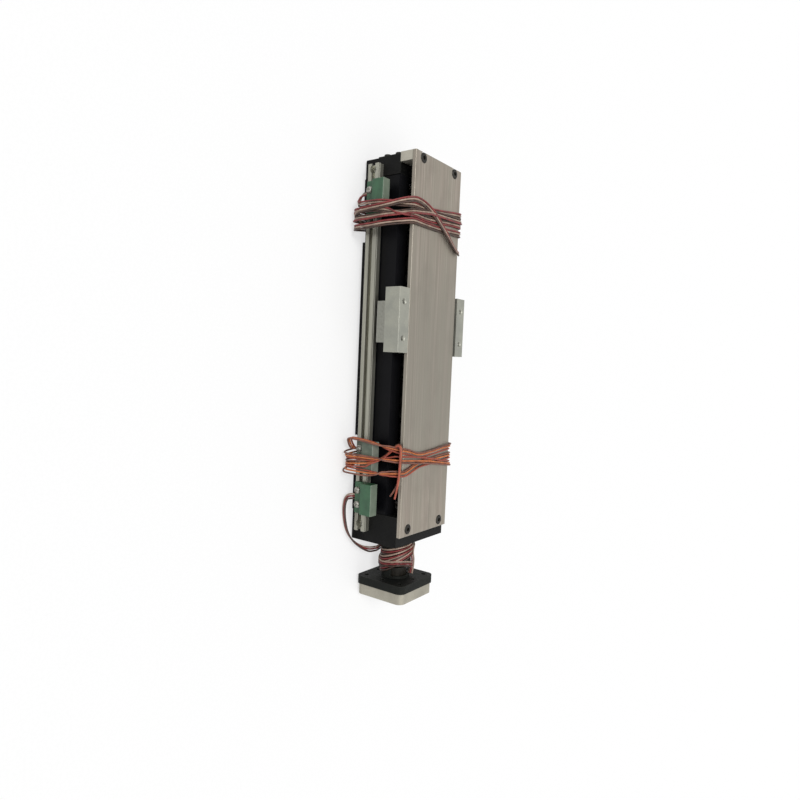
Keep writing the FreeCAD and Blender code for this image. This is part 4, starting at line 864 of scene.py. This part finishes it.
def stage_turns(turns, first_left, twists, lifts):
    """Route points (x, y, z, half twists) of a lead's turns round the stage.

    Each turn has two twists, on the sensors' side and on the cover, and a lift on the cover.
    """
    points = []
    lefts = [turn[0] for turn in turns] + [first_left]
    levels = [twist[0] for twist in twists] + [twists[-1][1]]
    for number, (turn, (left_twist, cover_twist), lift) in enumerate(zip(turns, twists, lifts)):
        marks = [*turn, lefts[number + 1]]
        for place, y, z in ROUND_THE_STAGE:
            if number == 0 and place < 0:
                continue
            twist = left_twist + (cover_twist - left_twist) * gone(place, TWIST_OVER)
            twist += (levels[number + 1] - cover_twist) * gone(place, TWIST_BACK)
            raised = lift * (gone(place, LIFT_UP) - gone(place, LIFT_DOWN))
            points.append((between(marks, place, MARK_EASE), y, z + raised, twist))
    return points, levels[-1]


def with_twist(points, twist):
    """Plain route points with a lead's twist added."""
    return [(*point, twist) for point in points]


# Points given in millimetres: the stretches that hang free, near those of the stage's
# construction, and for each turn round the stage its five marks.
FAR_LEAD_START = [
    (-107.4, -36.9, 10.8),
    (-107.4, -37.0, 8.2),
    (-106.2, -37.4, 5.9),
    (-104.0, -38.4, 5.0),
    (-101.6, -40.4, 5.9),
]
FAR_TURNS = [
    (-98.2, -96.8, -97.6, -101.6, -96.0),
    (-93.6, -91.0, -90.8, -94.4, -91.6),
    (-88.2, -92.8, -95.2, -98.0, -87.0),
    (-82.6, -86.0, -86.4, -88.2, -83.5),
]
FAR_TAIL = [
    (-92.0, -43.4, 4.4),
    (-93.5, -45.6, 9.5),
    (-94.0, -45.7, 19.0),
    (-94.5, -45.4, 28.6),
    (-96.6, -41.6, 35.0),
    (-99.4, -36.6, 41.6),
    (-100.9, -32.0, 47.6),
    (-100.9, -26.0, 48.7),
    (-99.4, -16.5, 48.3),
    (-95.4, -7.0, 48.2),
    (-90.6, 0.6, 48.2),
    (-83.4, 11.8, 48.1),
    (-77.0, 21.6, 47.7),
    (-75.0, 25.2, 47.5),
    (-73.6, 29.0, 47.4),
]
NEAR_LEAD_START = [
    (74.6, -36.9, 10.8),
    (74.5, -37.3, 8.4),
    (73.2, -38.9, 6.6),
    (70.2, -41.8, 7.0),
]
NEAR_TURNS = [
    (65.6, 73.2, 77.2, 74.0, 77.0),
    (79.2, 79.4, 81.0, 87.0, 84.0),
    (89.4, 88.6, 83.4, 80.4, 88.0),
]
NEAR_TIE = [
    (84.6, -44.6, 6.4),
    (83.8, -45.4, 12.0),
    (83.0, -45.2, 20.0),
    (82.2, -43.6, 27.2),
    (80.6, -39.0, 31.0),
    (77.6, -34.8, 34.2),
    (74.0, -32.8, 37.6),
    (70.8, -32.8, 41.0),
    (69.2, -33.8, 44.2),
    (69.6, -34.6, 46.6),
    (72.6, -34.5, 47.2),
    (78.0, -34.3, 46.9),
    (85.0, -34.3, 46.9),
    (90.6, -34.2, 46.7),
    (94.6, -34.2, 46.1),
    (98.6, -34.6, 45.2),
    (102.4, -35.4, 44.2),
    (105.6, -36.4, 43.2),
]
DRIVE_LEAD_START = [
    (109.4, -36.9, 10.8),
    (109.4, -37.6, 8.2),
    (109.6, -39.2, 6.4),
    (110.6, -40.6, 4.8),
    (114.2, -41.2, 3.6),
    (120.2, -41.0, 3.0),
    (128.4, -39.6, 2.8),
    (137.4, -36.6, 3.0),
    (144.8, -31.2, 4.4),
    (150.0, -24.4, 6.8),
    (152.8, -17.0, 9.2),
    (153.6, -9.4, 9.4),
]
# Turns round the bracket's neck, each tilted to it: how many turns from the coil's start, x
# at the turn's middle, how far it leans along the neck, and radius.
NECK_TURNS = [
    (0.00, 153.6, 0.0, 14.8),
    (0.20, 152.6, 0.8, 12.6),
    (0.45, 151.2, 2.0, 11.6),
    (1.00, 151.6, 3.4, 11.7),
    (1.50, 154.6, 4.0, 12.9),
    (2.00, 155.8, 5.0, 11.9),
    (2.50, 157.4, 5.4, 11.8),
    (3.00, 158.6, 6.2, 12.6),
    (3.50, 160.2, 6.6, 13.1),
    (4.00, 160.8, 7.2, 11.8),
    (4.47, 167.0, 0.4, 12.1),
    (4.80, 160.0, 4.4, 13.2),
    (5.42, 152.6, 4.4, 13.2),
]
# Degrees round the neck: where its turns start, and where they lean out furthest.
NECK_START_ANGLE = -35.0
LEAN_ANGLE = 318.0
NECK_LEAD_END = [
    (149.4, 8.8, 31.2),
    (150.8, 3.8, 33.8),
    (154.6, 3.2, 33.9),
    (159.0, 5.6, 33.1),
    (163.6, 7.2, 32.2),
    (168.0, 7.0, 31.9),
    (171.6, 6.2, 31.6),
]
POINTS_A_TURN = 14


def neck_turns():
    """Route points round the neck, worked out from the listed turns."""
    points = []
    total = NECK_TURNS[-1][0]
    steps = round(total * POINTS_A_TURN)
    for step in range(steps + 1):
        turns = total * step / steps
        for before, after in zip(NECK_TURNS, NECK_TURNS[1:]):
            if before[0] <= turns <= after[0]:
                share = (turns - before[0]) / (after[0] - before[0])
                x, lean, radius = [a + (b - a) * share for a, b in zip(before[1:], after[1:])]
                break
        angle = math.radians(NECK_START_ANGLE) + math.tau * turns
        x += lean * math.cos(angle - math.radians(LEAN_ANGLE))
        points.append((x, radius * math.sin(angle), AXIS_HEIGHT - radius * math.cos(angle)))
    return points


LINE_STEPS = 8
# Two waves along a lead part its wires; the shifts, in radians, keep the wires out of step.
# The shares are the steady one and each wave's.
PARTING_WAVE = 14.0
SLOW_WAVE = 2.7 * PARTING_WAVE
PARTING_SHIFT = 2.4
SLOW_SHIFT = 1.3
PARTING_SHARES = (0.5, 0.4, 0.5)
SWAY_WAVE = 11.0
WIRE_SWAY = 0.3
# The wires splay over their last stretch, each to its own side.
SPLAY_REACH = 15.0
SPLAY_CURVE = 1.5
SPLAY_SHARES = (-1.0, -0.7, 1.0)
STAGE_WIDTH = 60.0


def smooth_line(name, points):
    """Points along a lead's centreline, read from the NURBS spline through its route."""
    curve = bpy.data.curves.new(name, "CURVE")
    curve.dimensions = "3D"
    curve.resolution_u = LINE_STEPS
    spline = curve.splines.new("NURBS")
    spline.points.add(len(points) - 1)
    for place, point in zip(spline.points, points):
        place.co = (*(value * MM for value in point[:3]), 1.0)
    spline.order_u = 3
    spline.use_endpoint_u = True
    holder = bpy.data.objects.new(name, curve)
    mesh = bpy.data.meshes.new_from_object(holder)
    line = [vertex.co.copy() for vertex in mesh.vertices]
    bpy.data.objects.remove(holder)
    bpy.data.curves.remove(curve)
    bpy.data.meshes.remove(mesh)
    return line


def parting(travelled, number, looseness):
    """Millimetres by which one wire stands off from its neighbour, more or less along the lead."""
    wave = math.sin(travelled / PARTING_WAVE + PARTING_SHIFT * number)
    slow = math.sin(travelled / SLOW_WAVE + SLOW_SHIFT * number)
    steady, wave_share, slow_share = PARTING_SHARES
    return looseness * max(0.0, steady + wave_share * wave + slow_share * slow)


def wire_lines(line, twists, looseness, splay):
    """Centrelines of a lead's three wires, laid side by side, which splay at the cut end.

    Looseness is how far they part, in millimetres, on the sensors' side and on the other.
    """
    wires = [[], [], []]
    travelled = 0.0
    total = sum((b - a).length for a, b in zip(line, line[1:])) / MM
    for index, here in enumerate(line):
        before, after = line[max(index - 1, 0)], line[min(index + 1, len(line) - 1)]
        travelled += (here - before).length / MM
        forward = (after - before).normalized()
        outward = Vector((0, here.y, here.z - AXIS_HEIGHT * MM))
        outward = (outward - forward * outward.dot(forward)).normalized()
        side = forward.cross(outward)
        # Each span of the spline runs from the middle of one leg of its route to the next.
        place = min(0.5 + index / LINE_STEPS, len(twists) - 1.001)
        turn = math.pi * between(twists[int(place):int(place) + 2], place - int(place))
        sway = WIRE_SWAY * math.sin(travelled / SWAY_WAVE)
        for number, wire in enumerate(wires):
            rank = number - 1
            loose_here = between(looseness, 0.5 + here.y / MM / STAGE_WIDTH)
            loose = parting(travelled, number, loose_here) * abs(math.cos(turn))
            apart = rank * (WIRE_PITCH + loose)
            free = max(0.0, 1 - (total - travelled) / SPLAY_REACH)
            parted = splay * SPLAY_SHARES[number] * free ** SPLAY_CURVE
            across = side * (math.cos(turn) * apart + sway + parted)
            lift = outward * (math.sin(turn) * apart)
            point = here + (across + lift) * MM
            point.z = max(point.z, WIRE_RADIUS * MM)
            wire.append(point)
    return wires


def wire_mesh(name, wires, finishes):
    """Round wires along their lines, each in its own colour, closed at their ends."""
    curve = bpy.data.curves.new(name, "CURVE")
    curve.dimensions = "3D"
    curve.bevel_depth = WIRE_RADIUS * MM
    curve.bevel_resolution = 2
    curve.use_fill_caps = True
    for finish in finishes:
        curve.materials.append(finish)
    for number, wire in enumerate(wires):
        spline = curve.splines.new("POLY")
        spline.points.add(len(wire) - 1)
        for place, point in zip(spline.points, wire):
            place.co = (*point, 1.0)
        spline.material_index = number
        spline.use_smooth = True
    holder = new_object(name + "_line", curve)
    mesh = worked_out(holder)
    mesh.name = name
    bpy.data.objects.remove(holder)
    bpy.data.curves.remove(curve)
    return mesh


def sensor_lead(name, points, finishes, nodes, looseness, splay):
    """A sensor's lead: its wires in place of its nodes."""
    line = smooth_line(name, points)
    twists = [point[3] for point in points]
    wires = wire_lines(line, twists, looseness, splay)
    piece = new_piece(name, wire_mesh(name, wires, finishes), "base")
    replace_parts(piece, *nodes)


# Half twists of each turn on the sensors' side and on the cover, and how much higher it lies
# on the cover where it crosses the others.
FAR_TWISTS = [(0.85, 1.0), (0.95, 0.0), (0.15, 0.1), (1.0, 1.0)]
FAR_LIFTS = [0.0, 0.0, 1.4, 0.0]
NEAR_TWISTS = [(0.45, 0.9), (0.85, 0.1), (0.2, 1.0)]
NEAR_LIFTS = [0.0, 1.4, 0.0]
NEAR_TURNS_END = 84.0
NEAR_TIE_TWIST = 1.42
NECK_END_TWIST = 0.58

route, level = stage_turns(FAR_TURNS, FAR_TAIL[0][0], FAR_TWISTS, FAR_LIFTS)
route = with_twist(FAR_LEAD_START, FAR_TWISTS[0][0]) + route + with_twist(FAR_TAIL, level)
sensor_lead("far_sensor_wires", route, [BROWN_PVC, CREAM_PVC, MAROON_PVC],
            nodes=["far_sensor_lead", "far_lead_wrap", "far_lead_end"], looseness=(0.2, 0.5),
            splay=0.2)
route, level = stage_turns(NEAR_TURNS, NEAR_TURNS_END, NEAR_TWISTS, NEAR_LIFTS)
route = with_twist(NEAR_LEAD_START, NEAR_TWISTS[0][0]) + route
route += with_twist(NEAR_TIE[:4], level) + with_twist(NEAR_TIE[4:], NEAR_TIE_TWIST)
sensor_lead("home_sensor_wires", route, [BRICK_PVC, ORANGE_PVC, RUSSET_PVC],
            nodes=["near_lead_wrap", "near_lead_end"], looseness=(1.1, 1.1), splay=2.3)
route = with_twist(DRIVE_LEAD_START + neck_turns(), 0.0)
route += with_twist(NECK_LEAD_END, NECK_END_TWIST)
sensor_lead("drive_sensor_wires", route, [BROWN_PVC, MAROON_PVC, CREAM_PVC],
            nodes=["drive_sensor_lead", "neck_lead_coil"], looseness=(0.5, 0.5), splay=0.2)


# Floor, light and camera

def seen_plainly(tree):
    """1 where the camera or gloss sees a thing, and 0 where it only gives light."""
    path = add(tree, "ShaderNodeLightPath").outputs
    return add(tree, MATH, "MAXIMUM", path["Is Camera Ray"], path["Is Glossy Ray"])


# How much of the paper, where the camera or gloss sees it, is plain white glow.
PAPER_GLOW = 0.6


def paper_floor():
    """Matt white paper: near white to the camera and in gloss, with the stage's shadow kept."""
    finish, tree, shader = new_finish("matt_white_paper", 0.9)
    fibre = pattern(tree, 1.5)
    stops = [(0.3, "#f3f3f3"), (0.7, "#f8f8f8")]
    feed(tree, shader, Base_Color=add(tree, RAMP, {"stops": stops}, fibre))
    glow = add(tree, "ShaderNodeEmission", Color=(1, 1, 1, 1))
    share = add(tree, MATH, "MULTIPLY", seen_plainly(tree), PAPER_GLOW)
    output = next(node for node in tree.nodes if node.type == "OUTPUT_MATERIAL")
    feed(tree, output, Surface=add(tree, "ShaderNodeMixShader", {}, share, shader, glow))
    return finish


FLOOR_REACH = 60.0
floor_mesh = bpy.data.meshes.new("floor")
floor_mesh.from_pydata([(x * FLOOR_REACH, y * FLOOR_REACH, 0) for x, y in
                        ((-1, -1), (1, -1), (1, 1), (-1, 1))], [], [(0, 1, 2, 3)])
floor_mesh.materials.append(paper_floor())
new_object("floor", floor_mesh)

world = bpy.data.worlds.new("studio")
bpy.context.scene.world = world
world.use_nodes = True
sky_tree = world.node_tree
sky_tree.nodes.clear()
# The sky's strength as light, and where the camera or gloss sees it.
SKY_LIGHT = 0.5
SKY_SEEN = 1.0
strength = add(sky_tree, SPREAD, {}, seen_plainly(sky_tree), 0.0, 1.0, SKY_LIGHT, SKY_SEEN)
sky = add(sky_tree, "ShaderNodeBackground", Color=(1, 1, 1, 1), Strength=strength)
add(sky_tree, "ShaderNodeOutputWorld", Surface=sky)


def soft_lamp(name, source, spread_degrees, strength):
    """Even light from a wide, far soft box in a direction."""
    lamp = bpy.data.lights.new(name, "SUN")
    lamp.angle = math.radians(spread_degrees)
    lamp.energy = strength
    turn = Vector(source).to_track_quat("Z", "Y").to_euler()
    new_object(name, lamp).rotation_euler = turn


soft_lamp("key_lamp", (-0.25, -0.55, 0.85), 24.0, 1.7)
soft_lamp("fill_lamp", (0.5, 0.1, 0.85), 50.0, 0.5)

# The camera stands on the sensors' side and looks down 36 degrees; the picture's up is -X.
FOCAL_PIXELS = 626.6
PICTURE_PIXELS = 800
camera = bpy.data.cameras.new("camera")
camera.lens = FOCAL_PIXELS / PICTURE_PIXELS * camera.sensor_width
camera.clip_start = 0.01
eye = new_object("camera", camera)
EYE_PLACE = Vector((0.0148, -0.3847, 0.2990))
EYE_RIGHT = Vector((-0.0431, 0.5891, 0.8069))
EYE_UP = Vector((-0.9977, 0.0162, -0.0651))
eye_back = EYE_RIGHT.cross(EYE_UP)
turn = Matrix((EYE_RIGHT, EYE_UP, eye_back)).transposed().to_4x4()
eye.matrix_world = Matrix.Translation(EYE_PLACE) @ turn
bpy.context.scene.camera = eye
bpy.context.scene.view_settings.view_transform = "Standard"
